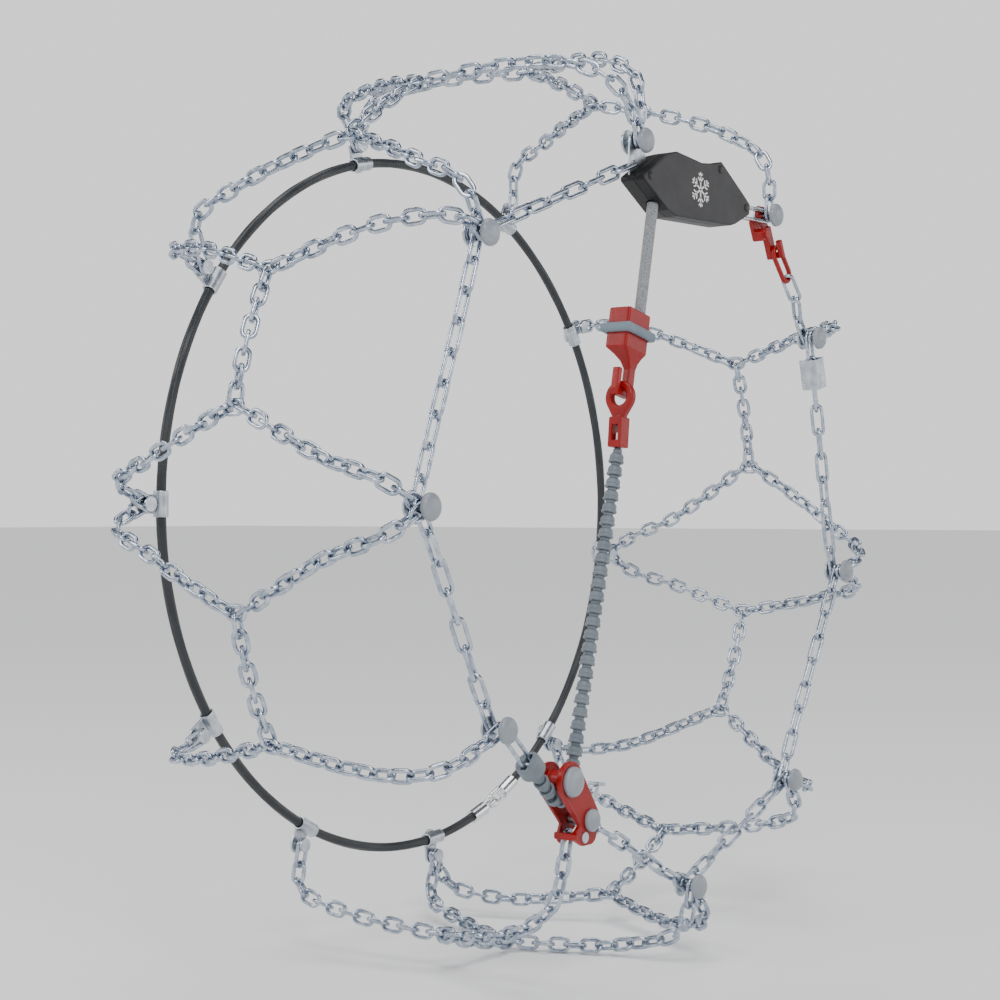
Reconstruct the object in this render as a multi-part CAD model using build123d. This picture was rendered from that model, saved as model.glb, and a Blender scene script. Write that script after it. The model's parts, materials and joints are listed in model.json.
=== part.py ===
"""Self-tensioning snow chain set for one 205/55 R16 wheel, as it lies when fitted.

Frame: millimetres, origin at the wheel centre, Y along the wheel axis with the outer face at -Y,
Z up, X to the right when the outer face is looked at.
"""

from build123d import *
import os
from math import atan2, ceil, cos, degrees, pi, radians, sin

import numpy as np

os.makedirs("parts", exist_ok=True)

# ---------------------------------------------------------------- driving dimensions
TYRE_RADIUS = 316.0              # 205/55 R16
TYRE_HALF_WIDTH = 110.6
TYRE_SHOULDER_RADIUS = 272.9     # below this radius the outline is taken as a flat side wall
TYRE_ROUNDNESS = 3.88            # power of the superellipse across the tread
OUTLINE_STEP = 0.1
BEND_SPREAD = 30.0               # rigid links spread the turn over the shoulder this far
CHAIN_STANDOFF = 5.6             # tyre surface to the centre line of the chain lying on it

TREAD_WIRE = 2.8
TREAD_LINK_WIDTH = 11.6
TREAD_LINK_INNER = 12.3
TREAD_PITCH = 12.15              # longest pitch that keeps the links loose
END_LINK_EXTRA = 4.5             # the link held by a rivet is this much longer

SIDE_WIRE = 2.8
SIDE_LINK_WIDTH = 10.8
SIDE_LINK_INNER = 21.2

SHANK_RADIUS = 2.3               # rivet shank inside the end links
SHANK_PLAY = 2.3                 # end joint beyond the shank axis
LINE_Y = -124.0                  # middle plane of the elastic tensioner
BASE_BACK_Y = -110.8
BASE_FRONT_Y = -112.8
SIDE_LAYERS = (-114.35, -117.3)
TREAD_LAYERS = (-120.35, -123.5)
CAP_BACK_Y = -125.15
CAP_RADIUS = 8.75

# Rivet places on the outer side wall, (x, z).
RIVET_A = (-41.8, 252.0)
RIVET_B = (141.1, 221.7)
RIVET_C = (210.3, 132.3)
RIVET_D = (256.0, -53.3)
RIVET_E = (170.4, -213.2)
RIVET_F = (27.8, -274.7)
RIVET_H = (-201.5, -142.6)
RIVET_I = (-278.3, -2.2)
RIVET_J = (-220.1, 168.5)
OUTER_RIVETS = (RIVET_A, RIVET_B, RIVET_C, RIVET_D, RIVET_E, RIVET_F, RIVET_H, RIVET_I, RIVET_J)

# Lock of the tensioner.
PULLEY = (-142.0, -180.5)
PULLEY_PITCH_RADIUS = 12.5
LOCK_RIVET = (-120.0, -208.0)
STRAND_PIN = (-127.5, -218.5)
STRAND_PIN_LAYER = -120.5
LOCK_CHAIN_LAYER = -127.4
LINE_TILT = radians(14.4)        # bead line from the vertical
TAIL_HEADING = radians(137.5)    # bead line after the pulley
CABLE_RADIUS = 1.5
BEAD_PITCH = 8.7
STRAIGHT_BEADS = 26
WRAPPED_BEADS = 3
TAIL_BEADS = 3

# Inner side.
INNER_RING_RADIUS = 265.0
INNER_RIVET_RADIUS = 279.0
INNER_CABLE_RADIUS = 3.5
INNER_CABLE_Y = 118.9
INNER_LAYERS = (116.4, 119.55)
INNER_TAB = (121.2, 123.2)

# Crossing units: rivet, inner rivet angle, and the angle of each crown link, in degrees.
UNITS = {
    "tread_unit_left": (RIVET_I, 180.0, (169.3, 192.2)),
    "tread_unit_upper_left": (RIVET_J, 144.0, (130.5, 152.3)),
    "tread_unit_top": (RIVET_A, 103.0, (91.5, 114.0)),
    "tread_unit_upper_right": (RIVET_B, 62.0, (75.0,)),
    "tread_unit_right": (RIVET_C, 34.0, (22.5,)),
    "tread_unit_lower_right": (RIVET_D, -9.0, (-16.5, 6.0)),
    "tread_unit_bottom_right": (RIVET_E, -47.0, (-55.5, -33.0)),
    "tread_unit_bottom": (RIVET_F, -84.0, (-94.5, -72.0)),
    "tread_unit_lock": (STRAND_PIN, -117.0, (-111.0,)),
    "tread_unit_lower_left": (RIVET_H, 215.0, (208.6,)),
}
CROWN_CHAINS = (
    (152.3, 169.3), (192.2, 208.6), (114.0, 130.5), (75.0, 91.5),
    (6.0, 22.5), (-33.0, -16.5), (-72.0, -55.5), (-111.0, -94.5),
)
CROWN_LINKS = 8
BLEND_START = 70.0               # distance from the rivet where a strand leaves the tyre
BLEND_END = 20.0                 # and where it has reached its layer on the rivet
CROWN_SIDE = 0.45                # and that much towards its rivet
CROWN_PLAY = 0.6                 # strand joint inside the end of the crown link
CROWN_ROLL = 18.0                # end links of a crown chain, from standing on edge

parts = {}


# ---------------------------------------------------------------- helpers
def unit(vector):
    return np.asarray(vector, float) / np.linalg.norm(vector)


def group(solids):
    """Several separate solids kept in one node."""
    return Compound([solid for shape in solids for solid in shape.solids()])


def outward(y):
    """Sketch plane parallel to the wheel face: local x is X, local y is Z, normal is -Y."""
    return Plane(origin=(0, y, 0), x_dir=(1, 0, 0), z_dir=(0, -1, 0))


def plate(sketch, back, front):
    """Sketch in (x, z), from y = back outwards to y = front."""
    return extrude(outward(back) * sketch, amount=back - front)


def disc(centre, radius, back, front):
    return plate(Pos(*centre) * Circle(radius), back, front)


def hull(*circles):
    """Outline around circles given as (x, z, radius)."""
    outlines = [(Pos(x, z) * Circle(radius)).edge() for x, z, radius in circles]
    return make_hull(outlines)


def turned(profile, origin, direction):
    """Profile in (radius, distance) turned about the line from origin along direction."""
    direction = Vector(*direction)
    side = Vector(0, 1, 0) if abs(direction.Y) < 0.5 else Vector(1, 0, 0)
    plane = Plane(origin=origin, x_dir=side, z_dir=side.cross(direction))
    return revolve(plane * profile, axis=Axis(origin, direction))


def ring_link(wire, inner_length, outer_width):
    """Closed oval link, long axis X, lying in the XY plane."""
    bend = (outer_width - wire) / 2
    reach = (inner_length + wire) / 2 - bend
    section = Plane(origin=(reach, -bend, 0), z_dir=(1, 0, 0)) * Circle(wire / 2)
    end = revolve(section, axis=Axis((reach, 0, 0), (0, 0, 1)), revolution_arc=180)
    side = extrude(Plane(origin=(-reach, bend, 0), z_dir=(1, 0, 0)) * Circle(wire / 2), 2 * reach)
    return end + mirror(end, Plane.YZ) + side + mirror(side, Plane.XZ)


TREAD_LINK = ring_link(TREAD_WIRE, TREAD_LINK_INNER, TREAD_LINK_WIDTH)
TREAD_END_LINK = ring_link(TREAD_WIRE, TREAD_LINK_INNER + END_LINK_EXTRA, TREAD_LINK_WIDTH)
SIDE_LINK = ring_link(SIDE_WIRE, SIDE_LINK_INNER, SIDE_LINK_WIDTH)
placed_links = []


def place_link(link, start, end, normal, roll):
    """Link between two joint points; roll turns it about its length from lying flat."""
    along = unit(end - start)
    flat = unit(normal - along * np.dot(normal, along))
    across = np.cross(along, flat)
    facing = flat * cos(radians(roll)) + across * sin(radians(roll))
    seat = Plane(origin=tuple((start + end) / 2), x_dir=tuple(along), z_dir=tuple(facing))
    placed_links.append((seat, link))
    return seat.location * link


def rolls(count, first, last):
    """Even turn from link to link, as near a right angle as the end links allow."""
    half_turns = round((90 * (count - 1) - (last - first)) / 180)
    step = (last - first + 180 * half_turns) / (count - 1)
    return [first + step * index for index in range(count)]


def march(route, pitches):
    """Joint points at given straight distances along a dense route, or None past its end."""
    joints = [route[0]]
    index = 0
    for pitch in pitches:
        while index < len(route) and np.linalg.norm(route[index] - joints[-1]) < pitch:
            index += 1
        if index == len(route):
            return None
        joints.append(joints[-1] + unit(route[index] - joints[-1]) * pitch)
    return joints


def joints_along(route, count, end_extra=0.0):
    """Joint points of count links of one pitch that end where the route ends."""
    low, high = 5.0, 30.0
    for _ in range(40):
        pitch = (low + high) / 2
        joints = march(route, [pitch] * (count - 1) + [pitch + end_extra])
        if joints:
            low = pitch
        else:
            high = pitch
    joints = march(route, [low] * (count - 1) + [low + end_extra])
    joints[-1] = route[-1]
    return joints


# ---------------------------------------------------------------- tyre outline the chain lies on
def tyre_outline():
    """(distance across the tread, y, radius, normal y, normal radius), from -y to +y."""
    turn = np.linspace(-pi / 2, pi / 2, 4001)
    power = 2 / TYRE_ROUNDNESS
    y = TYRE_HALF_WIDTH * np.sign(np.sin(turn)) * np.abs(np.sin(turn)) ** power
    radius = TYRE_SHOULDER_RADIUS + (TYRE_RADIUS - TYRE_SHOULDER_RADIUS) * np.cos(turn) ** power
    wall = np.linspace(TYRE_SHOULDER_RADIUS - 60, TYRE_SHOULDER_RADIUS - 0.5, 120)
    y = np.concatenate([np.full(120, -TYRE_HALF_WIDTH), y, np.full(120, TYRE_HALF_WIDTH)])
    radius = np.concatenate([wall, radius, wall[::-1]])
    slope_y = np.gradient(y)
    slope_radius = np.gradient(radius)
    size = np.hypot(slope_y, slope_radius)
    y = y - slope_radius / size * CHAIN_STANDOFF
    radius = radius + slope_y / size * CHAIN_STANDOFF
    distance = np.concatenate([[0], np.cumsum(np.hypot(np.diff(y), np.diff(radius)))])
    even = np.arange(0, distance[-1], OUTLINE_STEP)
    window = np.ones(round(BEND_SPREAD / OUTLINE_STEP))
    window /= window.size
    y = np.convolve(np.interp(even, distance, y), window, mode="valid")
    radius = np.convolve(np.interp(even, distance, radius), window, mode="valid")
    distance = np.concatenate([[0], np.cumsum(np.hypot(np.diff(y), np.diff(radius)))])
    distance -= np.interp(0, y, distance)
    slope_y = np.gradient(y, distance)
    slope_radius = np.gradient(radius, distance)
    return distance, y, radius, -slope_radius, slope_y


ACROSS, OUTLINE_Y, OUTLINE_RADIUS, NORMAL_Y, NORMAL_RADIUS = tyre_outline()
CROWN_RADIUS = TYRE_RADIUS + CHAIN_STANDOFF


def across_at_radius(radius):
    """Distance across the outline, on the outer side, at which it is at this radius."""
    outer = ACROSS < 0
    return np.interp(radius, OUTLINE_RADIUS[outer], ACROSS[outer])


def surface_normal(across, angle):
    in_out = np.interp(across, ACROSS, NORMAL_RADIUS)
    sideways = np.interp(across, ACROSS, NORMAL_Y)
    return np.array([in_out * cos(angle), sideways, in_out * sin(angle)])


# ---------------------------------------------------------------- tread net
def strand(crown_angle, rivet, layer, side):
    """Links from a crown link to a rivet; side is -1 for the outer wall, +1 for the inner."""
    rivet_radius = float(np.hypot(*rivet))
    rivet_angle = degrees(atan2(rivet[1], rivet[0]))
    rivet_angle += 360 * round((crown_angle - rivet_angle) / 360)
    start_across = -TREAD_LINK_INNER / 2 + CROWN_PLAY
    rivet_across = across_at_radius(rivet_radius)
    share = np.linspace(0, 1, 1600)
    slope = np.hypot(rivet_across - start_across, radians(rivet_angle - crown_angle) * rivet_radius)
    share_end = 1 + SHANK_PLAY / slope
    share = share * share_end
    across = start_across + (rivet_across - start_across) * share
    start_angle = crown_angle + degrees(CROWN_SIDE / CROWN_RADIUS) * np.sign(rivet_angle - crown_angle)
    angle = np.radians(start_angle + (rivet_angle - start_angle) * share)
    y = np.interp(across, ACROSS, OUTLINE_Y)
    radius = np.interp(across, ACROSS, OUTLINE_RADIUS)
    to_rivet = (1 - share) * slope
    blend = np.clip((BLEND_START - to_rivet) / (BLEND_START - BLEND_END), 0, 1)
    shift = blend * blend * (3 - 2 * blend)
    y = y * (1 - shift) + layer * shift
    route = np.stack([radius * np.cos(angle), y, radius * np.sin(angle)], axis=1)
    length = np.sum(np.linalg.norm(np.diff(route, axis=0), axis=1))
    count = ceil((length - END_LINK_EXTRA) / TREAD_PITCH)
    joints = joints_along(route, count, END_LINK_EXTRA)
    flip = np.array([1, -side, 1])
    solids = []
    for index, roll in enumerate(rolls(count, 90.0, 0.0)):
        middle = (joints[index] + joints[index + 1]) / 2
        nearest = int(np.argmin(np.linalg.norm(route - middle, axis=1)))
        normal = surface_normal(across[nearest], angle[nearest])
        link = TREAD_LINK
        if index == count - 1:
            link = TREAD_END_LINK
            normal = np.array([0.0, -1.0, 0.0])
        solids.append(place_link(link, joints[index] * flip, joints[index + 1] * flip,
                                 normal * flip, roll))
    return solids


def crown_link(crown_angle):
    """Link lying flat on the tread, long axis across it, that joins the strands."""
    angle = radians(crown_angle)
    outwards = np.array([cos(angle), 0, sin(angle)])
    centre = outwards * CROWN_RADIUS
    half = np.array([0, TREAD_LINK_INNER / 2, 0])
    return place_link(TREAD_LINK, centre - half, centre + half, outwards, 0.0)


def inner_rivet(angle):
    return (INNER_RIVET_RADIUS * cos(radians(angle)), INNER_RIVET_RADIUS * sin(radians(angle)))


for name, (rivet, inner_angle, crown_angles) in UNITS.items():
    solids = []
    for number, crown_angle in enumerate(crown_angles):
        layer = STRAND_PIN_LAYER if rivet is STRAND_PIN else TREAD_LAYERS[number]
        inner_layer = -INNER_LAYERS[number]
        solids += strand(crown_angle, rivet, layer, -1)
        solids += strand(crown_angle, inner_rivet(inner_angle), inner_layer, 1)
        solids.append(crown_link(crown_angle))
    parts[name] = group(solids)


def crown_chain(low_angle, high_angle):
    """Chain around the tread between two crown links, hooked over their long sides."""
    hook = (TREAD_LINK_WIDTH / 2 - TREAD_WIRE - 0.05) / CROWN_RADIUS
    angles = np.linspace(radians(low_angle) + hook, radians(high_angle) - hook, 600)
    route = CROWN_RADIUS * np.stack([np.cos(angles), 0 * angles, np.sin(angles)], axis=1)
    joints = joints_along(route, CROWN_LINKS)
    solids = []
    for index, roll in enumerate(rolls(CROWN_LINKS, 90 - CROWN_ROLL, 90 + CROWN_ROLL)):
        middle = (joints[index] + joints[index + 1]) / 2
        solids.append(place_link(TREAD_LINK, joints[index], joints[index + 1], middle, roll))
    return solids


parts["crown_chains"] = group([link for pair in CROWN_CHAINS for link in crown_chain(*pair)])


# ---------------------------------------------------------------- outer side chain
def side_chain(start, end, layers, count, first_roll=0.0, last_roll=0.0, play=(1, 1)):
    """Straight run of side links between (x, z) points; play says which ends sit on a shank."""
    start = np.array([start[0], layers[0], start[1]])
    end = np.array([end[0], layers[1], end[1]])
    flat = unit((end - start) * np.array([1, 0, 1]))
    start = start - flat * SHANK_PLAY * play[0]
    end = end + flat * SHANK_PLAY * play[1]
    share = np.linspace(0, 1, 800)
    hold = 1.15 / count
    blend = np.clip((share - hold) / (1 - 2 * hold), 0, 1)
    route = start + (end - start) * share[:, None]
    route[:, 1] = layers[0] + (layers[1] - layers[0]) * blend * blend * (3 - 2 * blend)
    joints = joints_along(route, count)
    facing = np.array([0.0, -1.0, 0.0])
    return [place_link(SIDE_LINK, joints[index], joints[index + 1], facing, roll)
            for index, roll in enumerate(rolls(count, first_roll, last_roll))]


NEAR, FAR = SIDE_LAYERS
parts["side_chain_lower_left"] = group(side_chain(RIVET_H, RIVET_I, (NEAR, FAR), 8))
parts["side_chain_left"] = group(side_chain(RIVET_I, RIVET_J, (NEAR, FAR), 9))
parts["side_chain_right"] = group(side_chain(RIVET_C, RIVET_D, (FAR, NEAR), 10))
parts["side_chain_lower_right"] = group(side_chain(RIVET_D, RIVET_E, (FAR, NEAR), 9)
                                        + side_chain(RIVET_E, RIVET_F, (FAR, NEAR), 8))
parts["side_chain_bottom"] = group(
    side_chain(RIVET_F, LOCK_RIVET, (FAR, LOCK_CHAIN_LAYER), 8))

# ---------------------------------------------------------------- rivets of the outer wall
CAP_HEIGHT = 5.85
CAP_RIM = 1.8


def domed(radius, rim, height):
    """Half section of a cap with a straight rim and a domed top, in (radius, height)."""
    rise = height - rim
    dome = RadiusArc((radius, rim), (0, height), -(radius * radius + rise * rise) / (2 * rise))
    return make_face(Polyline((0, height), (0, 0), (radius, 0), (radius, rim)) + dome)


caps = []
bases = []
for x, z in OUTER_RIVETS:
    cap = turned(domed(CAP_RADIUS, CAP_RIM, CAP_HEIGHT), (x, CAP_BACK_Y, z), (0, -1, 0))
    socket = disc((x, z), SHANK_RADIUS, CAP_BACK_Y, CAP_BACK_Y - 3)
    caps.append(cap - socket)
    base = disc((x, z), 8.5, BASE_BACK_Y, BASE_FRONT_Y)
    bases.append(base + disc((x, z), SHANK_RADIUS, BASE_FRONT_Y, CAP_BACK_Y - 3))
parts["rivet_caps"] = group(caps)
parts["rivets"] = group(bases)

# ---------------------------------------------------------------- inner ring
RING_START = radians(-62.0)
RING_GAP = radians(9.0)
INNER_FOOT_Y = 113.2
ring_plane = Plane(origin=(INNER_RING_RADIUS * cos(RING_START), INNER_CABLE_Y,
                           INNER_RING_RADIUS * sin(RING_START)),
                   z_dir=(-sin(RING_START), 0, cos(RING_START)))
parts["inner_cable"] = revolve(ring_plane * Circle(INNER_CABLE_RADIUS),
                               axis=Axis((0, INNER_CABLE_Y, 0), (0, -1, 0)),
                               revolution_arc=360 - degrees(RING_GAP))


def ring_point(angle, radius=INNER_RING_RADIUS, y=INNER_CABLE_Y):
    return np.array([radius * cos(angle), y, radius * sin(angle)])


def ring_direction(angle):
    return np.array([-sin(angle), 0, cos(angle)])


def rod(start, end, radius):
    """Round bar between two points."""
    start, end = np.asarray(start, float), np.asarray(end, float)
    seat = Plane(origin=tuple(start), z_dir=tuple(unit(end - start)))
    return extrude(seat * Circle(radius), float(np.linalg.norm(end - start)))


CLIP_BORE = 3.7                  # clears the curved cable inside a straight sleeve
clips = []
clip_rivets = []
for rivet, inner_angle, crown_angles in UNITS.values():
    angle = radians(inner_angle)
    middle = ring_point(angle)
    along = ring_direction(angle)
    rivet_place = inner_rivet(inner_angle)
    sleeve = rod(middle - along * 9, middle + along * 9, 5.2)
    channel = rod(middle - along * 10, middle + along * 10, CLIP_BORE)
    tab = plate(hull((middle[0], middle[2], 6.5), (*rivet_place, 6.5)), INNER_TAB[1], INNER_TAB[0])
    shank_hole = disc(rivet_place, SHANK_RADIUS, INNER_TAB[1] + 1, INNER_TAB[0] - 1)
    clips.append(sleeve + tab - channel - shank_hole)
    shank = disc(rivet_place, SHANK_RADIUS, INNER_TAB[1], INNER_FOOT_Y + 1.5)
    foot = disc(rivet_place, 5.0, INNER_FOOT_Y + 1.5, INNER_FOOT_Y)
    head = turned(domed(5.0, 0.6, 2.2), (rivet_place[0], INNER_TAB[1], rivet_place[1]), (0, 1, 0))
    clip_rivets.append(shank + foot + head)
parts["inner_clips"] = group(clips)
parts["inner_clip_rivets"] = group(clip_rivets)

# The ring opens at a hook and an eye, each on a sleeve pressed over a cable end.
SLEEVE_RADIUS = 5.5
SLEEVE_GRIP = 9.0
SLEEVE_LEAD = 8.0
CLOSURE_WIRE = 2.0               # radius
HOOK_BEND = 4.2
closure_angle = RING_START - RING_GAP / 2
closure_middle = ring_point(closure_angle)
closure_along = ring_direction(closure_angle)
up_y = np.array([0.0, 1.0, 0.0])


def cable_sleeve(angle, sign):
    """Sleeve over a cable end; the cable leaves it towards sign."""
    at = ring_point(angle)
    along = ring_direction(angle) * sign
    body = rod(at - along * SLEEVE_LEAD, at + along * SLEEVE_GRIP, SLEEVE_RADIUS)
    return body - rod(at, at + along * (SLEEVE_GRIP + 1), CLIP_BORE)


eye_seat = Plane(origin=tuple(closure_middle + closure_along * 6), x_dir=tuple(closure_along),
                 z_dir=(0, 1, 0))
eye_loop = eye_seat.location * ring_link(2 * CLOSURE_WIRE, 14, 14)
parts["inner_cable_eye"] = cable_sleeve(RING_START, 1) + eye_loop
hook_seat = closure_middle - closure_along * 2.9
hook_bend = revolve(
    Plane(origin=tuple(hook_seat + up_y * HOOK_BEND), z_dir=tuple(closure_along))
    * Circle(CLOSURE_WIRE),
    axis=Axis(tuple(hook_seat), tuple(np.cross(closure_along, up_y))), revolution_arc=-180)
hook_shank = rod(hook_seat - closure_along * 14, hook_seat, CLOSURE_WIRE)
hook_shank = Pos(0, HOOK_BEND, 0) * hook_shank
hook_tip = Pos(0, -HOOK_BEND, 0) * rod(hook_seat - closure_along * 6, hook_seat, CLOSURE_WIRE)
parts["inner_cable_hook"] = (
    cable_sleeve(RING_START - RING_GAP, -1) + hook_shank + hook_bend + hook_tip)

# ---------------------------------------------------------------- elastic cord housing
HOUSING_BACK_Y = -113.0
HOUSING_FRONT_Y = -133.0
HOUSING_WALL = 2.0
CORD_RADIUS = 4.0
CORD_TILT = radians(12.2)
CORD_EXIT = (-29.2, 208.9)
ROLLER_PIN_RADIUS = 2.5
LEFT_ROLLER_PITCH = 14.0
RIGHT_ROLLER_PITCH = 10.0
RIGHT_ROLLER = (60.0, 223.0)
ROLLER_HALF_WIDTH = 5.5
GROOVE_PLAY = 0.2
HOUSING_LEFT_PIN = (-45.8, 226.4)
HOUSING_TOP_PIN = (48.0, 243.3)
HOUSING_RIGHT_PIN = (85.0, 219.8)
HOUSING_OUTLINE = (
    (-53.5, 223.2), (-53.5, 226.0), (-22.8, 244.8), (-10.8, 248.1), (23.3, 244.7), (39.3, 246.5),
    (50.0, 249.2), (53.5, 247.0), (83.7, 228.0), (91.0, 223.0), (90.0, 215.5), (70.2, 206.3),
    (63.6, 204.4), (-10.8, 202.4), (-22.8, 205.4),
)
cord_down = np.array([-sin(CORD_TILT), 0, -cos(CORD_TILT)])
CORD_RUN_OUT = 13.4              # from the left roller to the mouth of the housing
LEFT_ROLLER = (CORD_EXIT[0] + sin(CORD_TILT) * CORD_RUN_OUT + cos(CORD_TILT) * LEFT_ROLLER_PITCH,
               RIGHT_ROLLER[1] + RIGHT_ROLLER_PITCH - LEFT_ROLLER_PITCH)

housing_face = make_face(Polyline(*HOUSING_OUTLINE, close=True))
housing_face = fillet(housing_face.vertices(), 1.2)
housing_inner = offset(housing_face, -HOUSING_WALL)


def cutter(centre, radius):
    return disc(centre, radius, 0, -200)


# The elastic cord: anchored inside, around the right roller, over the left one and out.
cord_top = RIGHT_ROLLER[1] + RIGHT_ROLLER_PITCH
cord_low = RIGHT_ROLLER[1] - RIGHT_ROLLER_PITCH
CORD_ANCHOR_X = 16.0
anchor_run = rod((CORD_ANCHOR_X, LINE_Y, cord_low), (RIGHT_ROLLER[0], LINE_Y, cord_low), CORD_RADIUS)
right_turn = revolve(
    Plane(origin=(RIGHT_ROLLER[0], LINE_Y, cord_low), z_dir=(1, 0, 0)) * Circle(CORD_RADIUS),
    axis=Axis((RIGHT_ROLLER[0], LINE_Y, RIGHT_ROLLER[1]), (0, -1, 0)), revolution_arc=180)
top_run = rod((LEFT_ROLLER[0], LINE_Y, cord_top), (RIGHT_ROLLER[0], LINE_Y, cord_top), CORD_RADIUS)
LEFT_WRAP = 90 + degrees(CORD_TILT)
left_turn = revolve(
    Plane(origin=(LEFT_ROLLER[0], LINE_Y, cord_top), z_dir=(-1, 0, 0)) * Circle(CORD_RADIUS),
    axis=Axis((LEFT_ROLLER[0], LINE_Y, LEFT_ROLLER[1]), (0, -1, 0)), revolution_arc=LEFT_WRAP)
left_tangent = np.array([LEFT_ROLLER[0], LINE_Y, LEFT_ROLLER[1]]) + LEFT_ROLLER_PITCH * np.array(
    [-cos(CORD_TILT), 0, sin(CORD_TILT)])
exit_run_length = (left_tangent[2] - CORD_EXIT[1]) / cos(CORD_TILT)
cord_exit = left_tangent + cord_down * exit_run_length
exit_run = rod(left_tangent, cord_exit, CORD_RADIUS)
parts["cord_inside"] = anchor_run + right_turn + top_run + left_turn + exit_run

STOP_RADIUS = 5.6
STOP_LENGTH = 10.0
STOP_X = CORD_ANCHOR_X + 8
stop = rod((CORD_ANCHOR_X - 1.5, LINE_Y, cord_low), (STOP_X, LINE_Y, cord_low), STOP_RADIUS)
parts["cord_end_stop"] = stop - rod((CORD_ANCHOR_X, LINE_Y, cord_low),
                                    (STOP_X + 1, LINE_Y, cord_low), CORD_RADIUS)
RIB_THICKNESS = 2.0
rib = Pos(STOP_X + 0.1 + RIB_THICKNESS / 2, cord_low - 1) * Rectangle(RIB_THICKNESS, 17)
cord_slot = rod(left_tangent, cord_exit + cord_down * 20, CORD_RADIUS + 0.5)
rib_slot = rod((STOP_X, LINE_Y, cord_low), (STOP_X + 4, LINE_Y, cord_low), CORD_RADIUS + 0.4)


def roller(centre, pitch_radius):
    """Grooved roller for the cord on a pin along Y."""
    rim = pitch_radius - 2.0
    wheel = disc(centre, rim, LINE_Y + ROLLER_HALF_WIDTH, LINE_Y - ROLLER_HALF_WIDTH)
    groove = revolve(
        Plane(origin=(centre[0] + pitch_radius, LINE_Y, centre[1]), z_dir=(0, 0, 1))
        * Circle(CORD_RADIUS + GROOVE_PLAY),
        axis=Axis((centre[0], LINE_Y, centre[1]), (0, -1, 0)))
    return wheel - groove - cutter(centre, ROLLER_PIN_RADIUS + 0.15)


parts["left_cord_roller"] = roller(LEFT_ROLLER, LEFT_ROLLER_PITCH)
parts["right_cord_roller"] = roller(RIGHT_ROLLER, RIGHT_ROLLER_PITCH)

# Link plate from rivet A into the left end of the housing.
PLATE_BACK_Y = -117.0
PLATE_FRONT_Y = -118.6
CHAIN_HOLE = (-44.8, 235.9)
plate_outline = (hull((*RIVET_A, 7.5), (-46.2, 236.2, 4.6))
                 + hull((*RIVET_A, 7.5), (-33.5, 239.5, 5.0))
                 + hull((-46.2, 236.2, 4.6), (-33.5, 239.5, 5.0), (*HOUSING_LEFT_PIN, 4.2)))
link_plate = plate(plate_outline, PLATE_BACK_Y, PLATE_FRONT_Y)
link_plate -= cutter(RIVET_A, SHANK_RADIUS) + cutter(CHAIN_HOLE, 2.3)
parts["link_plate"] = link_plate - cutter(HOUSING_LEFT_PIN, 2.0)
hole = np.array([CHAIN_HOLE[0], (PLATE_BACK_Y + PLATE_FRONT_Y) / 2, CHAIN_HOLE[1]])
to_hole = unit([CHAIN_HOLE[0] - RIVET_J[0], 0, CHAIN_HOLE[1] - RIVET_J[1]])
chain_stop = hole - to_hole * (SIDE_WIRE / 2 + 0.1)
parts["side_chain_upper_left"] = group(side_chain(
    RIVET_J, (chain_stop[0], chain_stop[2]), (NEAR, hole[1]), 9, 0.0, 90.0, play=(1, 0)))

# Wire link from the right end of the housing to rivet B.
WIRE_LINK_Y = -117.2
WIRE_LINK_WIRE = 3.1
housing_end = np.array([HOUSING_RIGHT_PIN[0], WIRE_LINK_Y, HOUSING_RIGHT_PIN[1]])
rivet_b = np.array([RIVET_B[0], WIRE_LINK_Y, RIVET_B[1]])
wire_along = unit(rivet_b - housing_end)
wire_start = housing_end - wire_along * 2.2
wire_end = rivet_b + wire_along * 2.5
wire_shape = ring_link(WIRE_LINK_WIRE, float(np.linalg.norm(wire_end - wire_start)), 11.4)
parts["wire_link"] = place_link(wire_shape, wire_start, wire_end, np.array([0.0, -1.0, 0.0]), 0.0)


def housing_half(back, front, outer):
    """One half shell from the parting plane to the outer face; outer is the outside Y."""
    shell = plate(housing_face, back, front)
    wall = HOUSING_WALL if outer < LINE_Y else -HOUSING_WALL
    inner = outer + wall
    hollow = plate(housing_inner, max(inner, LINE_Y), min(inner, LINE_Y))
    bosses = [disc(centre, 4.4, back, front) for centre in (HOUSING_TOP_PIN,)]
    bosses.append(plate(rib, back, front))
    seats = [disc(centre, ROLLER_PIN_RADIUS + 1.6, back, front)
             for centre in (LEFT_ROLLER, RIGHT_ROLLER)]
    roller_room = plate(housing_inner, LINE_Y + ROLLER_HALF_WIDTH + 0.6,
                        LINE_Y - ROLLER_HALF_WIDTH - 0.6)
    seats = [seat - roller_room for seat in seats]
    shell -= hollow
    for solid in bosses + seats:
        shell += solid & plate(housing_face, back, front)
    return shell - cord_slot - rib_slot


plate_room = plate(offset(plate_outline, 0.5), PLATE_BACK_Y + 0.3, PLATE_FRONT_Y - 0.3)
wire_room = plate(hull((*HOUSING_RIGHT_PIN, 6.6), (*RIVET_B, 6.6)), -115.3, -119.1)
pin_cuts = (cutter(HOUSING_LEFT_PIN, 2.0) + cutter(HOUSING_TOP_PIN, 2.0)
            + cutter(HOUSING_RIGHT_PIN, 2.0))
PIN_BACK_Y = HOUSING_BACK_Y - 0.9
PIN_FRONT_Y = HOUSING_FRONT_Y + 0.9
roller_pin_cuts = (disc(LEFT_ROLLER, ROLLER_PIN_RADIUS, PIN_BACK_Y, PIN_FRONT_Y)
                   + disc(RIGHT_ROLLER, ROLLER_PIN_RADIUS, PIN_BACK_Y, PIN_FRONT_Y))
removed = plate_room + wire_room
back_shell = housing_half(HOUSING_BACK_Y, LINE_Y, HOUSING_BACK_Y)
front_shell = housing_half(LINE_Y, HOUSING_FRONT_Y, HOUSING_FRONT_Y)
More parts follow.
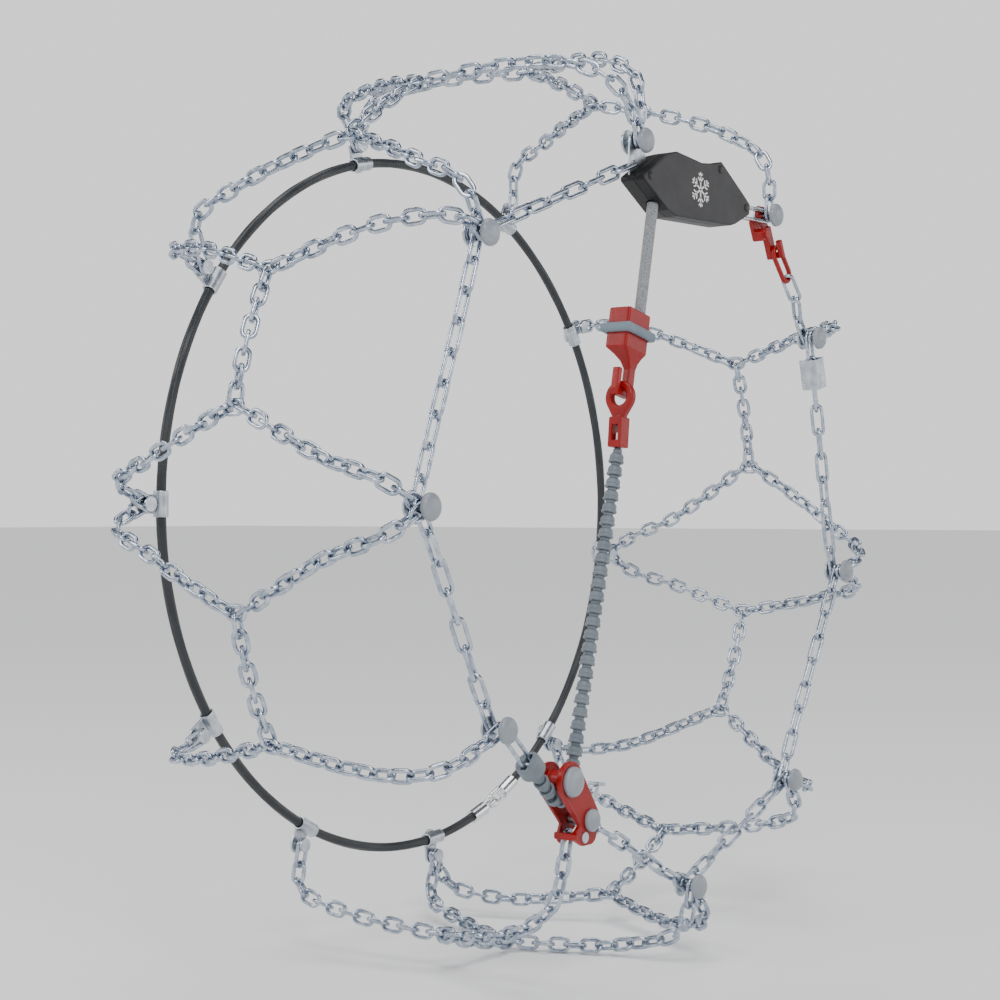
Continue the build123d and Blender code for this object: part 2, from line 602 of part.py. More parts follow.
parts["housing_back"] = back_shell - removed - pin_cuts - roller_pin_cuts
front_shell = front_shell - pin_cuts - roller_pin_cuts
front_edges = front_shell.faces().sort_by(Axis.Y)[0].outer_wire().edges()
parts["housing_front"] = chamfer(front_edges, 0.6)
rivets = [disc(centre, ROLLER_PIN_RADIUS, PIN_BACK_Y, PIN_FRONT_Y)
          for centre in (LEFT_ROLLER, RIGHT_ROLLER)]
for centre in (HOUSING_LEFT_PIN, HOUSING_TOP_PIN, HOUSING_RIGHT_PIN):
    shank = disc(centre, 2.0, HOUSING_BACK_Y, HOUSING_FRONT_Y)
    head = turned(domed(3.0, 0.3, 0.9), (centre[0], HOUSING_FRONT_Y, centre[1]), (0, -1, 0))
    tail_head = turned(domed(3.0, 0.3, 0.9), (centre[0], HOUSING_BACK_Y, centre[1]), (0, 1, 0))
    rivets.append(shank + head + tail_head)
parts["housing_pins"] = group(rivets)

# ---------------------------------------------------------------- tension hook and its ring
HOOK_TILT = radians(12.2)
HOOK_Y = -121.0
hook_down = cord_down
hook_across = np.array([cos(HOOK_TILT), 0, -sin(HOOK_TILT)])
CORD_IN_HOOK = 7.0               # cord from the middle of the block
CORD_GRIP = 12.0                 # cord held inside the block
BLOCK_WIDTH = 26.6
BLOCK_DEPTH = 17.5
BLOCK_HEIGHT = 28.0
TAPER_END = 41.0
HOOK_LENGTH = 61.5
HOOK_DEPTH = 5.6
SHANK_LEFT = -1.0
SHANK_RIGHT = 6.4
TIP_LEFT = -13.5
TIP_RIGHT = -9.3
TIP_TOP = 42.8
GROOVE_FLOOR = 56.5
CORD_VISIBLE = 79.6
cord_enters = cord_exit + cord_down * CORD_VISIBLE
block_top = cord_enters - hook_across * CORD_IN_HOOK
hook_plane = Plane(origin=(float(block_top[0]), LINE_Y, float(block_top[2])),
                   x_dir=tuple(hook_across), z_dir=(0, -1, 0))
BLOCK_SHIFT = LINE_Y - HOOK_Y    # block middle behind the line, along the sketch normal


def hook_level(depth, width, thickness, centre, shift):
    """Cross-section of the hook, depth below its top."""
    at = Vector(*block_top) + Vector(*hook_down) * depth + Vector(*hook_across) * centre
    seat = Plane(origin=(at.X, LINE_Y - shift, at.Z), x_dir=tuple(hook_across),
                 z_dir=tuple(hook_down))
    return seat * RectangleRounded(width, thickness, min(width, thickness) * 0.09)


block = extrude(hook_level(0, BLOCK_WIDTH, BLOCK_DEPTH, 0, BLOCK_SHIFT), BLOCK_HEIGHT)
block = chamfer(block.faces().sort_by(Axis.Z)[-1].edges(), 0.7)
shank_width = SHANK_RIGHT - SHANK_LEFT
shank_middle = (SHANK_RIGHT + SHANK_LEFT) / 2
TAPER = ((0.0, 1.0), (0.3, 0.55), (0.62, 0.2), (1.0, 0.0))
levels = []
for along_taper, remaining in TAPER:
    levels.append(hook_level(
        BLOCK_HEIGHT + (TAPER_END - BLOCK_HEIGHT) * along_taper,
        shank_width + (BLOCK_WIDTH - shank_width) * remaining,
        HOOK_DEPTH + (BLOCK_DEPTH - HOOK_DEPTH) * remaining,
        shank_middle * (1 - remaining), BLOCK_SHIFT * remaining))
taper = loft(Sketch() + levels, ruled=True)
hook_outline = Polyline((TIP_LEFT, -TIP_TOP), (TIP_RIGHT, -TIP_TOP), (TIP_RIGHT, -GROOVE_FLOOR),
                        (SHANK_LEFT, -GROOVE_FLOOR), (SHANK_LEFT, -TAPER_END),
                        (SHANK_RIGHT, -TAPER_END), (SHANK_RIGHT, -HOOK_LENGTH),
                        (TIP_LEFT, -HOOK_LENGTH), close=True)
hook_face = make_face(hook_outline)
low_corners = hook_face.vertices().sort_by(Axis.Y)[:2]
hook_face = fillet(low_corners, 4.0)
bend = extrude(hook_plane * hook_face, HOOK_DEPTH / 2, both=True)
socket = rod(cord_enters - cord_down, cord_enters + cord_down * CORD_GRIP, CORD_RADIUS)
parts["tension_hook"] = block + taper + bend - socket
parts["cord_outside"] = rod(cord_exit, cord_enters + cord_down * CORD_GRIP, CORD_RADIUS)

RING_PLAY = 0.3
RING_WALL = 4.0
RING_HEIGHT = 6.6
RING_TOP = 11.7
ring_seat = hook_level(RING_TOP, BLOCK_WIDTH + 2 * RING_WALL, BLOCK_DEPTH + 2 * RING_WALL, 0,
                       BLOCK_SHIFT)
ring_band = extrude(ring_seat, RING_HEIGHT)
ring_band = fillet(ring_band.edges().filter_by(Plane(
    origin=(0, 0, 0), z_dir=tuple(hook_down))), 2.2)
ring_hole = hook_level(RING_TOP - 1, BLOCK_WIDTH + 2 * RING_PLAY, BLOCK_DEPTH + 2 * RING_PLAY, 0,
                       BLOCK_SHIFT)
parts["storage_ring"] = ring_band - extrude(ring_hole, RING_HEIGHT + 2)

# ---------------------------------------------------------------- bead line
line_down = np.array([-sin(LINE_TILT), 0, -cos(LINE_TILT)])
line_right = np.array([cos(LINE_TILT), 0, -sin(LINE_TILT)])
tail_along = np.array([cos(TAIL_HEADING), 0, sin(TAIL_HEADING)])
tail_left = np.array([-sin(TAIL_HEADING), 0, cos(TAIL_HEADING)])
pulley = np.array([PULLEY[0], LINE_Y, PULLEY[1]])
line_end = pulley + line_right * PULLEY_PITCH_RADIUS
tail_start = pulley + tail_left * PULLEY_PITCH_RADIUS
wrap_start = -LINE_TILT
wrap_end = atan2(tail_left[2], tail_left[0])
wrap_angle = wrap_start - wrap_end
wrap_length = wrap_angle * PULLEY_PITCH_RADIUS
BEAD_HALF = 3.5
BALL_RADIUS = 3.3                # nose that sits in the cup of the bead before it
CUP_RADIUS = 3.75
bead_profile = make_face(
    Polyline((4.9, -1.0), (5.0, 1.6), (5.4, 1.9), (5.4, BEAD_HALF), (CABLE_RADIUS, BEAD_HALF),
             (CABLE_RADIUS, -BEAD_HALF), (2.1, -BEAD_HALF))
    + ThreePointArc((2.1, -BEAD_HALF), (4.0, -2.6), (4.9, -1.0)))
cup = Pos(0, BEAD_PITCH / 2) * Circle(CUP_RADIUS)
ball = Pos(0, -BEAD_PITCH / 2) * Circle(BALL_RADIUS)
bore = Rectangle(2 * CABLE_RADIUS, 4 * BEAD_PITCH)
half_plane = Pos(BEAD_PITCH, 0) * Rectangle(2 * BEAD_PITCH, 4 * BEAD_PITCH)
WIDE_BORE = 2.05                 # lets the cable bend round the pulley
plain_profile = bead_profile - cup - Rectangle(2 * WIDE_BORE, 4 * BEAD_PITCH)
ball_profile = (bead_profile - cup) + (ball & half_plane - bore)


def bead(centre, direction, profile=ball_profile):
    return turned(profile, tuple(centre), tuple(direction))


parts["tension_beads"] = group([
    bead(line_end - line_down * BEAD_PITCH * (index + 0.5), line_down)
    for index in range(1, STRAIGHT_BEADS)])
# The bead about to reach the pulley turns with those already on it.
wrapped_beads = [bead(line_end - line_down * BEAD_PITCH / 2, line_down, plain_profile)]
for index in range(WRAPPED_BEADS):
    turn = wrap_start - (index + 0.5) * BEAD_PITCH / PULLEY_PITCH_RADIUS
    outward_way = np.array([cos(turn), 0, sin(turn)])
    onward = np.array([sin(turn), 0, -cos(turn)])
    wrapped_beads.append(bead(pulley + outward_way * PULLEY_PITCH_RADIUS, onward, plain_profile))
wrapped_cable = revolve(
    Plane(origin=tuple(line_end), z_dir=tuple(line_down)) * Circle(CABLE_RADIUS),
    axis=Axis(tuple(pulley), (0, 1, 0)), revolution_arc=degrees(wrap_angle))
nose = BEAD_PITCH / 2 + BEAD_HALF
parts["wrapped_beads"] = group(wrapped_beads)
parts["wrapped_cable"] = wrapped_cable + rod(line_end - line_down * nose, line_end, CABLE_RADIUS)
tail_first = (WRAPPED_BEADS + 0.5) * BEAD_PITCH - wrap_length
tail_beads = [bead(tail_start + tail_along * (tail_first + index * BEAD_PITCH), tail_along,
                   ball_profile if index else plain_profile)
              for index in range(TAIL_BEADS)]
parts["tail_beads"] = group(tail_beads)

# ---------------------------------------------------------------- eye coupler
EYE_TILT = radians(5.8)
EYE_LENGTH = 45.8
EYE_RING_RADIUS = 11.2
EYE_LIMB = 5.2
EYE_THICKNESS = 6.0
BOX_WIDTH = 10.5
BOX_TOP = 25.0
WINDOW_TOP = 30.5
WINDOW_BOTTOM = 41.0
KNOB_RADIUS = 2.4
eye_down = np.array([-sin(EYE_TILT), 0, -cos(EYE_TILT)])
eye_across = np.array([cos(EYE_TILT), 0, -sin(EYE_TILT)])
groove_middle = (TIP_RIGHT + SHANK_LEFT) / 2
eye_top = (np.array([block_top[0], LINE_Y, block_top[2]]) + hook_across * groove_middle
           + hook_down * (GROOVE_FLOOR - EYE_LIMB - 0.5))
eye_plane = Plane(origin=tuple(eye_top), x_dir=(0, -1, 0), z_dir=tuple(-eye_across))
ring_outline = hull((0, -EYE_RING_RADIUS, EYE_RING_RADIUS), (0, -22.5, 5.25))
hole_radius = 5.8
ring_opening = hull((0, -EYE_LIMB - hole_radius, hole_radius), (0, -15.3, 1.5))
eye_ring = extrude(eye_plane * (ring_outline - ring_opening), EYE_THICKNESS / 2, both=True)
eye_ring = chamfer(eye_ring.edges().filter_by(
    lambda edge: abs((edge.center() - Vector(*eye_top)).dot(Vector(*eye_across))) > 2.5), 1.1)
box = extrude(eye_plane * (Pos(0, -(BOX_TOP + EYE_LENGTH) / 2)
                           * RectangleRounded(BOX_WIDTH, EYE_LENGTH - BOX_TOP, 1.0)),
              BOX_WIDTH / 2, both=True)
window = extrude(eye_plane * (Pos(0, -(WINDOW_TOP + WINDOW_BOTTOM) / 2)
                              * Rectangle(2 * KNOB_RADIUS + 0.4, WINDOW_BOTTOM - WINDOW_TOP)),
                 BOX_WIDTH, both=True)
cable_hole = rod(eye_top + eye_down * (WINDOW_BOTTOM - 1), eye_top + eye_down * (EYE_LENGTH + 1),
                 2.3)
parts["eye_coupler"] = eye_ring + box - window - cable_hole
KNOB_LENGTH = 5.0
knob_low = eye_top + eye_down * (WINDOW_BOTTOM - 0.1)
knob_high = knob_low - eye_down * KNOB_LENGTH
eye_bottom_gap = (eye_top + eye_down * EYE_LENGTH - line_end)[2] / line_down[2]
cable_corner = line_end + line_down * eye_bottom_gap
cable_end = line_end - line_down * (1.5 * BEAD_PITCH - BEAD_HALF)
cable_path = FilletPolyline(tuple(knob_high), tuple(cable_corner), tuple(cable_end), radius=20)
cable_seat = Plane(origin=tuple(knob_high), z_dir=tuple(unit(cable_corner - knob_high)))
cable = sweep(cable_seat * Circle(CABLE_RADIUS), path=cable_path)
parts["tension_cable"] = cable
parts["cable_knob"] = rod(knob_high, knob_low, KNOB_RADIUS) - cable

# ---------------------------------------------------------------- tail end
CAP_START = 26.4
CAP_END = 37.2
CAP_PIN = 33.6
TAIL_LINK_Y = -123.6
TAIL_PIN_RADIUS = 2.0
pin_place = tail_start + tail_along * CAP_PIN
tail_cap = rod(tail_start + tail_along * CAP_START, tail_start + tail_along * CAP_END, CAP_RADIUS)
tail_cap = chamfer(tail_cap.edges().filter_by(GeomType.CIRCLE), 0.9)
slot_plane = Plane(origin=tuple(tail_start + tail_along * ((28.3 + CAP_END + 1) / 2)),
                   x_dir=tuple(tail_along), z_dir=(0, -1, 0))
slot = slot_plane * Rectangle(CAP_END + 1 - 28.3, 12.4)
tail_slot = extrude(slot, 2.0 + LINE_Y - TAIL_LINK_Y + 0.4) + extrude(slot, -2.4)
pin_hole = disc((pin_place[0], pin_place[2]), TAIL_PIN_RADIUS, LINE_Y + 7.4, LINE_Y - 7.4)
cable_bore = rod(tail_start + tail_along * (tail_first - BEAD_HALF),
                 tail_start + tail_along * (CAP_START + 1.2), CABLE_RADIUS)
parts["tail_end_cap"] = tail_cap - tail_slot - pin_hole - cable_bore
parts["tail_pin"] = pin_hole
parts["tail_cable"] = cable_bore
link_start = pin_place - tail_along * (TAIL_PIN_RADIUS + 0.2)
link_end = np.array([RIVET_H[0], TAIL_LINK_Y, RIVET_H[1]])
link_start[1] = TAIL_LINK_Y
link_end = link_end + tail_along * 2.5
tail_shape = ring_link(SIDE_WIRE, float(np.linalg.norm(link_end - link_start)), SIDE_LINK_WIDTH)
parts["tail_link"] = place_link(tail_shape, link_start, link_end, np.array([0.0, -1.0, 0.0]), 0.0)

# ---------------------------------------------------------------- lock
LOCK_BACK = (-114.8, -117.3)
LOCK_FRONT = (-130.7, -133.8)
PULLEY_PIN_RADIUS = 3.0
LOCK_PIN_RADIUS = SHANK_RADIUS
WEB = (-136.9, -217.2)           # web from cheek to cheek beside the strand pin
WEB_SIZE = (4.4, 4.6)
front_outline = (hull((*PULLEY, 13.2), (*LOCK_RIVET, 10.5))
                 + hull((*LOCK_RIVET, 9.0), (*STRAND_PIN, 5.6), (-120.0, -217.0, 7.0))
                 + hull((*LOCK_RIVET, 6.0), (*STRAND_PIN, 5.6), (*WEB, 2.3)))
back_outline = (hull((*PULLEY, 12.0), (*LOCK_RIVET, 9.0))
                + hull((*LOCK_RIVET, 8.0), (*STRAND_PIN, 5.6)))
lock_holes = (cutter(PULLEY, PULLEY_PIN_RADIUS) + cutter(LOCK_RIVET, LOCK_PIN_RADIUS)
              + cutter(STRAND_PIN, SHANK_RADIUS))
rim_line = offset(front_outline, -1.6)
front_rim = plate(front_outline - rim_line, LOCK_FRONT[1], LOCK_FRONT[1] - 1.2)
rim_side = plate(Pos(-150, -200) * Rectangle(26, 60), LOCK_FRONT[1], LOCK_FRONT[1] - 1.2)
front_plate = plate(front_outline, *LOCK_FRONT) + (front_rim & rim_side)
web = plate(Pos(*WEB) * RectangleRounded(*WEB_SIZE, 1.0), LOCK_BACK[1] - 0.1, LOCK_FRONT[0])
parts["lock_front_plate"] = front_plate + web - lock_holes
parts["lock_back_plate"] = plate(back_outline, *LOCK_BACK) - lock_holes
big_cap = turned(domed(10.0, 2.0, 6.2), (PULLEY[0], LOCK_FRONT[1], PULLEY[1]), (0, -1, 0))
small_cap = turned(domed(7.5, 1.6, 4.8), (LOCK_RIVET[0], LOCK_FRONT[1], LOCK_RIVET[1]), (0, -1, 0))
big_shank = disc(PULLEY, PULLEY_PIN_RADIUS, LOCK_BACK[0], LOCK_FRONT[1] - 3)
small_shank = disc(LOCK_RIVET, LOCK_PIN_RADIUS, LOCK_BACK[0], LOCK_FRONT[1] - 2.5)
parts["lock_caps"] = group([big_cap - big_shank, small_cap - small_shank])
strand_pin = (disc(STRAND_PIN, SHANK_RADIUS, LOCK_BACK[0], LOCK_FRONT[1])
              + disc(STRAND_PIN, 3.6, LOCK_BACK[0] + 1.2, LOCK_BACK[0])
              + disc(STRAND_PIN, 3.6, LOCK_FRONT[1], LOCK_FRONT[1] - 1.0))
parts["lock_rivets"] = group([
    big_shank + disc(PULLEY, 5.5, LOCK_BACK[0] + 1.6, LOCK_BACK[0]),
    small_shank + disc(LOCK_RIVET, 4.6, LOCK_BACK[0] + 1.6, LOCK_BACK[0]), strand_pin])
PULLEY_HUB_RADIUS = 6.8
PULLEY_FLANGE_RADIUS = 11.0
PULLEY_HALF = 6.3
FLANGE_THICKNESS = 0.7
pulley_wheel = disc(PULLEY, PULLEY_HUB_RADIUS, LINE_Y + PULLEY_HALF, LINE_Y - PULLEY_HALF)
for side in (1, -1):
    outer_y = LINE_Y + side * PULLEY_HALF
    inner_y = LINE_Y + side * (PULLEY_HALF - FLANGE_THICKNESS)
    pulley_wheel += disc(PULLEY, PULLEY_FLANGE_RADIUS, max(outer_y, inner_y), min(outer_y, inner_y))
parts["lock_pulley"] = pulley_wheel - cutter(PULLEY, PULLEY_PIN_RADIUS + 0.12)

# Release pawl on the lock rivet, a tooth towards the pulley and a finger pad.
PAWL_BACK_Y = -122.7
PAWL_FRONT_Y = -125.3
BEAD_SWEEP_RADIUS = PULLEY_PITCH_RADIUS + 5.4
rivet_at = np.array([LOCK_RIVET[0], 0, LOCK_RIVET[1]])
to_pulley = unit([PULLEY[0] - LOCK_RIVET[0], 0, PULLEY[1] - LOCK_RIVET[1]])
rivet_to_pulley = float(np.hypot(PULLEY[0] - LOCK_RIVET[0], PULLEY[1] - LOCK_RIVET[1]))
tooth_tip = rivet_at + to_pulley * (rivet_to_pulley - BEAD_SWEEP_RADIUS - 0.9 - 0.8)
PAD = (-98.6, -187.2)
STEM_BEND = (-101.3, -194.5)
STEM_END = (-99.3, -189.2)
pawl_outline = (hull((*LOCK_RIVET, 5.2), (tooth_tip[0], tooth_tip[2], 0.8))
                + hull((*LOCK_RIVET, 5.2), (*STEM_BEND, 3.0))
                + hull((*STEM_BEND, 3.0), (*STEM_END, 2.0)))
pawl = plate(pawl_outline, PAWL_BACK_Y, PAWL_FRONT_Y)
PAD_DEPTH = 8.8
pad_outline = Pos(*PAD) * Rot(0, 0, -7) * RectangleRounded(9.0, 2.4, 1.1)
pad = plate(pad_outline, LINE_Y + PAD_DEPTH / 2, LINE_Y - PAD_DEPTH / 2)
parts["release_pawl"] = pawl - cutter(LOCK_RIVET, LOCK_PIN_RADIUS + 0.12) - pad
parts["pawl_pad"] = pad
parts["pawl_spring"] = disc(LOCK_RIVET, 4.0, -118.0, -122.2) - cutter(LOCK_RIVET, 2.9)

# ---------------------------------------------------------------- closure hook and link
CLOSURE_TILT = radians(25.0)
CLOSURE_EYE = (-112.95, -115.5)
ARM_FRONT_Y = -117.6
ARM_WIDTH = 8.6
TIP_BACK_Y = -122.0
TIP_FRONT_Y = -126.0
TIP_WIDTH = 4.2
ARM_TOP = 6.0
ARM_BOTTOM = 34.0
CLOSURE_FLOOR = 29.5
CLOSURE_TIP_TOP = 20.0
closure_down = np.array([sin(CLOSURE_TILT), 0, -cos(CLOSURE_TILT)])
closure_across = np.array([cos(CLOSURE_TILT), 0, sin(CLOSURE_TILT)])
closure_plane = Plane(origin=(RIVET_B[0], 0, RIVET_B[1]), x_dir=tuple(closure_across),
                      z_dir=(0, -1, 0))


def closure_bar(top, bottom, width, back, front):
    """Bar along the hook, from top to bottom below the rivet, from back to front in Y."""
    face = Pos(0, -(top + bottom) / 2) * RectangleRounded(width, bottom - top, 1.0)
    seat = Plane(origin=closure_plane.origin + Vector(0, back, 0), x_dir=closure_plane.x_dir,
                 z_dir=(0, -1, 0))
    return extrude(seat * face, back - front)


closure = disc(RIVET_B, 7.6, *CLOSURE_EYE)
closure += closure_bar(3.0, ARM_BOTTOM, ARM_WIDTH, *CLOSURE_EYE)
closure += closure_bar(9.0, ARM_BOTTOM, ARM_WIDTH, CLOSURE_EYE[0], ARM_FRONT_Y)
closure += closure_bar(CLOSURE_FLOOR, ARM_BOTTOM, TIP_WIDTH, ARM_FRONT_Y, TIP_FRONT_Y)
closure += closure_bar(CLOSURE_TIP_TOP, ARM_BOTTOM, TIP_WIDTH, TIP_BACK_Y, TIP_FRONT_Y)
parts["closure_hook"] = closure - cutter(RIVET_B, SHANK_RADIUS + 0.12)

# Retaining block that rides on the wire link beside the hook.
KEEPER = (131.0, 210.5)
keeper_plane = Plane(origin=(KEEPER[0], -112.95, KEEPER[1]), x_dir=tuple(closure_across),
                     z_dir=(0, -1, 0))
keeper = extrude(keeper_plane * RectangleRounded(11.0, 17.0, 2.0), 2.5)
keeper += extrude(keeper_plane * (Pos(0, -4.5) * RectangleRounded(11.0, 8.0, 2.0)), 9.0)
keeper_bolt_plane = Plane(origin=keeper_plane.origin + Vector(0, -9.0, 0) + Vector(
    *(closure_down * 4.5)), x_dir=keeper_plane.x_dir, z_dir=(0, -1, 0))
keeper_bolt = extrude(keeper_bolt_plane * RegularPolygon(3.6, 8), 2.6)
parts["closure_keeper"] = keeper + keeper_bolt

RED_LINK_Y = -119.8
RED_LINK_WIRE = 3.5
RED_LINK_INNER = 27.0
GROOVE_SLACK = 1.8
groove = np.array([RIVET_B[0], RED_LINK_Y, RIVET_B[1]]) + closure_down * (
    CLOSURE_FLOOR - GROOVE_SLACK)
chain_to = np.array([RIVET_C[0], SIDE_LAYERS[0], RIVET_C[1]])
red_along = unit((chain_to - groove) * np.array([1, 0, 1]))
red_end = groove + red_along * RED_LINK_INNER
parts["closure_link"] = place_link(ring_link(RED_LINK_WIRE, RED_LINK_INNER, 15.0), groove, red_end,
                                   np.array([0.0, -1.0, 0.0]), 0.0)
first_hold = red_end - red_along * 0.4
parts["side_chain_upper_right"] = group(side_chain(
    (first_hold[0], first_hold[2]), RIVET_C, (RED_LINK_Y, NEAR), 3, 60.0, 0.0, play=(0, 1)))

# Shortening clip around the second link below rivet C.
clip_along = unit([RIVET_D[0] - RIVET_C[0], 0, RIVET_D[1] - RIVET_C[1]])
clip_middle = np.array([RIVET_C[0], FAR, RIVET_C[1]]) + clip_along * 28.3
clip_across = np.cross([0, 1, 0], clip_along)
clip_plane = Plane(origin=tuple(clip_middle), x_dir=tuple(clip_across),
                   z_dir=tuple(clip_along))
CLIP_WIDTH = 14.8
CLIP_SHEET = 1.4
CLIP_LENGTH = 24.0
clip_outside = Rectangle(CLIP_WIDTH, 14.6)
clip_inside = Pos(0, CLIP_SHEET) * Rectangle(CLIP_WIDTH - 2 * CLIP_SHEET, 14.6)
channel = fillet(clip_outside.vertices(), 1.0) - clip_inside
clip_pin = rod(clip_middle - clip_across * (CLIP_WIDTH / 2),
               clip_middle + clip_across * (CLIP_WIDTH / 2), 1.8)
parts["shortening_clip"] = group([extrude(clip_plane * channel, CLIP_LENGTH / 2, both=True)
                                  - clip_pin, clip_pin])

for name, shape in parts.items():
    export_step(shape, f"parts/{name}.step")
print(len(parts), "nodes", len(placed_links), "links")
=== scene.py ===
import json
from math import atan2, cos, pi, radians, sin

import bpy
import numpy as np
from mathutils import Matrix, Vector


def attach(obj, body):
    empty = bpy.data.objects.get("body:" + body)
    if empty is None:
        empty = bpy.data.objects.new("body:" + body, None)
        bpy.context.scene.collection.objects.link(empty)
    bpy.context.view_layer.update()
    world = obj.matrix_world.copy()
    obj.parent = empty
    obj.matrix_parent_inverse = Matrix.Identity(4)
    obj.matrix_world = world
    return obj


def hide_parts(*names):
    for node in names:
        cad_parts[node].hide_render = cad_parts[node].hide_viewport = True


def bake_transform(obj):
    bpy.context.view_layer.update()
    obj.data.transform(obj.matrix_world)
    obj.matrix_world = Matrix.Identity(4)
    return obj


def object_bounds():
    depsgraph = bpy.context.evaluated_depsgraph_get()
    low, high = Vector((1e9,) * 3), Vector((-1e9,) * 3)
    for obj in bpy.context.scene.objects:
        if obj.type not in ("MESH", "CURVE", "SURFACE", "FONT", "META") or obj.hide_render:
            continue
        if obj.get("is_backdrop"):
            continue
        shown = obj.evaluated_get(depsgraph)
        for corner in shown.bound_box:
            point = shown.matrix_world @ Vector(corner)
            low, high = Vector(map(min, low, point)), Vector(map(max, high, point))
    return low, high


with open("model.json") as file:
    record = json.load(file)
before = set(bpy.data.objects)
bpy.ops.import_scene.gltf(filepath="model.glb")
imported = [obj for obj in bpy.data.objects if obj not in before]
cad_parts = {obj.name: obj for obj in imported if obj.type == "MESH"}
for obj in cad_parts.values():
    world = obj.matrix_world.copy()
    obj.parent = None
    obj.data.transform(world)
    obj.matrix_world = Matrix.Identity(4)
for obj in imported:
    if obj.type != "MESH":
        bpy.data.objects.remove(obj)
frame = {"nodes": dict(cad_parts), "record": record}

cad_low, cad_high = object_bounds()
nodes = frame["nodes"]
MM = 0.001


# ---------------------------------------------------------------- numbers shared with the part
LINE_TILT = radians(14.4)
TAIL_HEADING = radians(137.5)
HOOK_TILT = radians(12.2)
PULLEY = np.array([-142.0, -124.0, -180.5])
PULLEY_PITCH = 12.5
BEAD_PITCH = 8.7
STRAIGHT_BEADS = 26
WRAPPED_BEADS = 3
TAIL_BEADS = 3
CORD_RADIUS = 4.0
CORD_EXIT = np.array([-29.2, -124.0, 208.9])
CORD_VISIBLE = 79.6
CORD_IN_MOUTH = 1.0              # overlap with the housing's mouth
CORD_IN_HOOK = 8.0               # length drawn inside the hook
RING_RADIUS = 265.0
RING_START = -62.0               # degrees
RING_ARC = 351.0
RING_Y = 118.9
RING_WIRE_RADIUS = 3.5
HOUSING_FACE_Y = -132.9


def unit(vector):
    vector = np.asarray(vector, float)
    return vector / np.linalg.norm(vector)


# ---------------------------------------------------------------- meshes
def new_object(name, verts_mm, faces, material):
    mesh = bpy.data.meshes.new(name)
    mesh.from_pydata((np.asarray(verts_mm) * MM).tolist(), [], faces)
    mesh.validate()
    mesh.polygons.foreach_set("use_smooth", [True] * len(mesh.polygons))
    mesh.update()
    obj = bpy.data.objects.new(name, mesh)
    bpy.context.scene.collection.objects.link(obj)
    obj.data.materials.append(material)
    return obj


def islands(obj):
    """Each connected solid of a CAD node as (vertices in mm, triangles)."""
    mesh = obj.data
    co = np.empty(len(mesh.vertices) * 3)
    mesh.vertices.foreach_get("co", co)
    co = co.reshape(-1, 3) / MM
    mesh.calc_loop_triangles()
    tris = np.empty(len(mesh.loop_triangles) * 3, int)
    mesh.loop_triangles.foreach_get("vertices", tris)
    tris = tris.reshape(-1, 3)
    _, same = np.unique(np.round(co, 3), axis=0, return_inverse=True)
    same = same.reshape(-1)
    welded = same[tris]
    label = np.arange(same.max() + 1)
    while True:
        low = label[welded].min(axis=1)
        before = label.copy()
        for corner in range(3):
            np.minimum.at(label, welded[:, corner], low)
        label = label[label]
        if np.array_equal(label, before):
            break
    of_tri = label[welded[:, 0]]
    order = np.argsort(of_tri, kind="stable")
    groups = np.split(order, np.flatnonzero(np.diff(of_tri[order])) + 1)
    return [(co, tris[group]) for group in groups]


def axes_of(island):
    """Centre, axes from longest to shortest, and full extents of one solid."""
    co, tris = island
    corners = co[tris]
    centre = corners.mean(axis=1)
    area = np.linalg.norm(np.cross(corners[:, 1] - corners[:, 0], corners[:, 2] - corners[:, 0]),
                          axis=1)
    middle = (centre * area[:, None]).sum(0) / area.sum()
    away = centre - middle
    scatter = (away * area[:, None]).T @ away
    _, vectors = np.linalg.eigh(scatter)
    axes = vectors[:, ::-1].T
    along = (corners.reshape(-1, 3) - middle) @ axes.T
    low, high = along.min(0), along.max(0)
    return middle + ((low + high) / 2) @ axes, axes, high - low


def ring_faces(stations, around, closed):
    """Quads between successive rings of vertices, back to the first ring when closed."""
    faces = []
    last = stations if closed else stations - 1
    for i in range(last):
        j = (i + 1) % stations
        for k in range(around):
            m = (k + 1) % around
            faces.append((i * around + k, i * around + m, j * around + m, j * around + k))
    return faces


def capped_faces(stations, around):
    """Quads of an open tube and a polygon over each end."""
    faces = ring_faces(stations, around, False)
    faces.append(tuple(range(around))[::-1])
    last = (stations - 1) * around
    faces.append(tuple(range(last, last + around)))
    return faces


def section(radius, power, around):
    """Rounded-square wire section."""
    turn = np.linspace(0, 2 * pi, around, endpoint=False) + pi / around
    c, s = np.cos(turn), np.sin(turn)
    size = (np.abs(c) ** power + np.abs(s) ** power) ** (-1 / power)
    return radius * np.stack([c * size, s * size], axis=1)


def stadium(length, width, per_bend, per_side):
    """Points and outward directions of an oval centre line in its plane."""
    half = width / 2
    reach = length / 2 - half
    bend = np.linspace(-pi / 2, pi / 2, per_bend, endpoint=False)
    run = np.linspace(0, 1, per_side, endpoint=False)
    right = np.stack([reach + half * np.cos(bend), half * np.sin(bend)], 1)
    top = np.stack([reach - 2 * reach * run, np.full(per_side, half)], 1)
    points = np.concatenate([right, top, -right, -top])
    way_right = np.stack([np.cos(bend), np.sin(bend)], 1)
    way_top = np.stack([0 * run, 0 * run + 1], 1)
    ways = np.concatenate([way_right, way_top, -way_right, -way_top])
    return points, ways


LINK_AROUND = 14
POINTS_PER_BEND = 12
POINTS_PER_SIDE = 7
WELD_SWELL = 0.05
WELD_REACH = 1.3


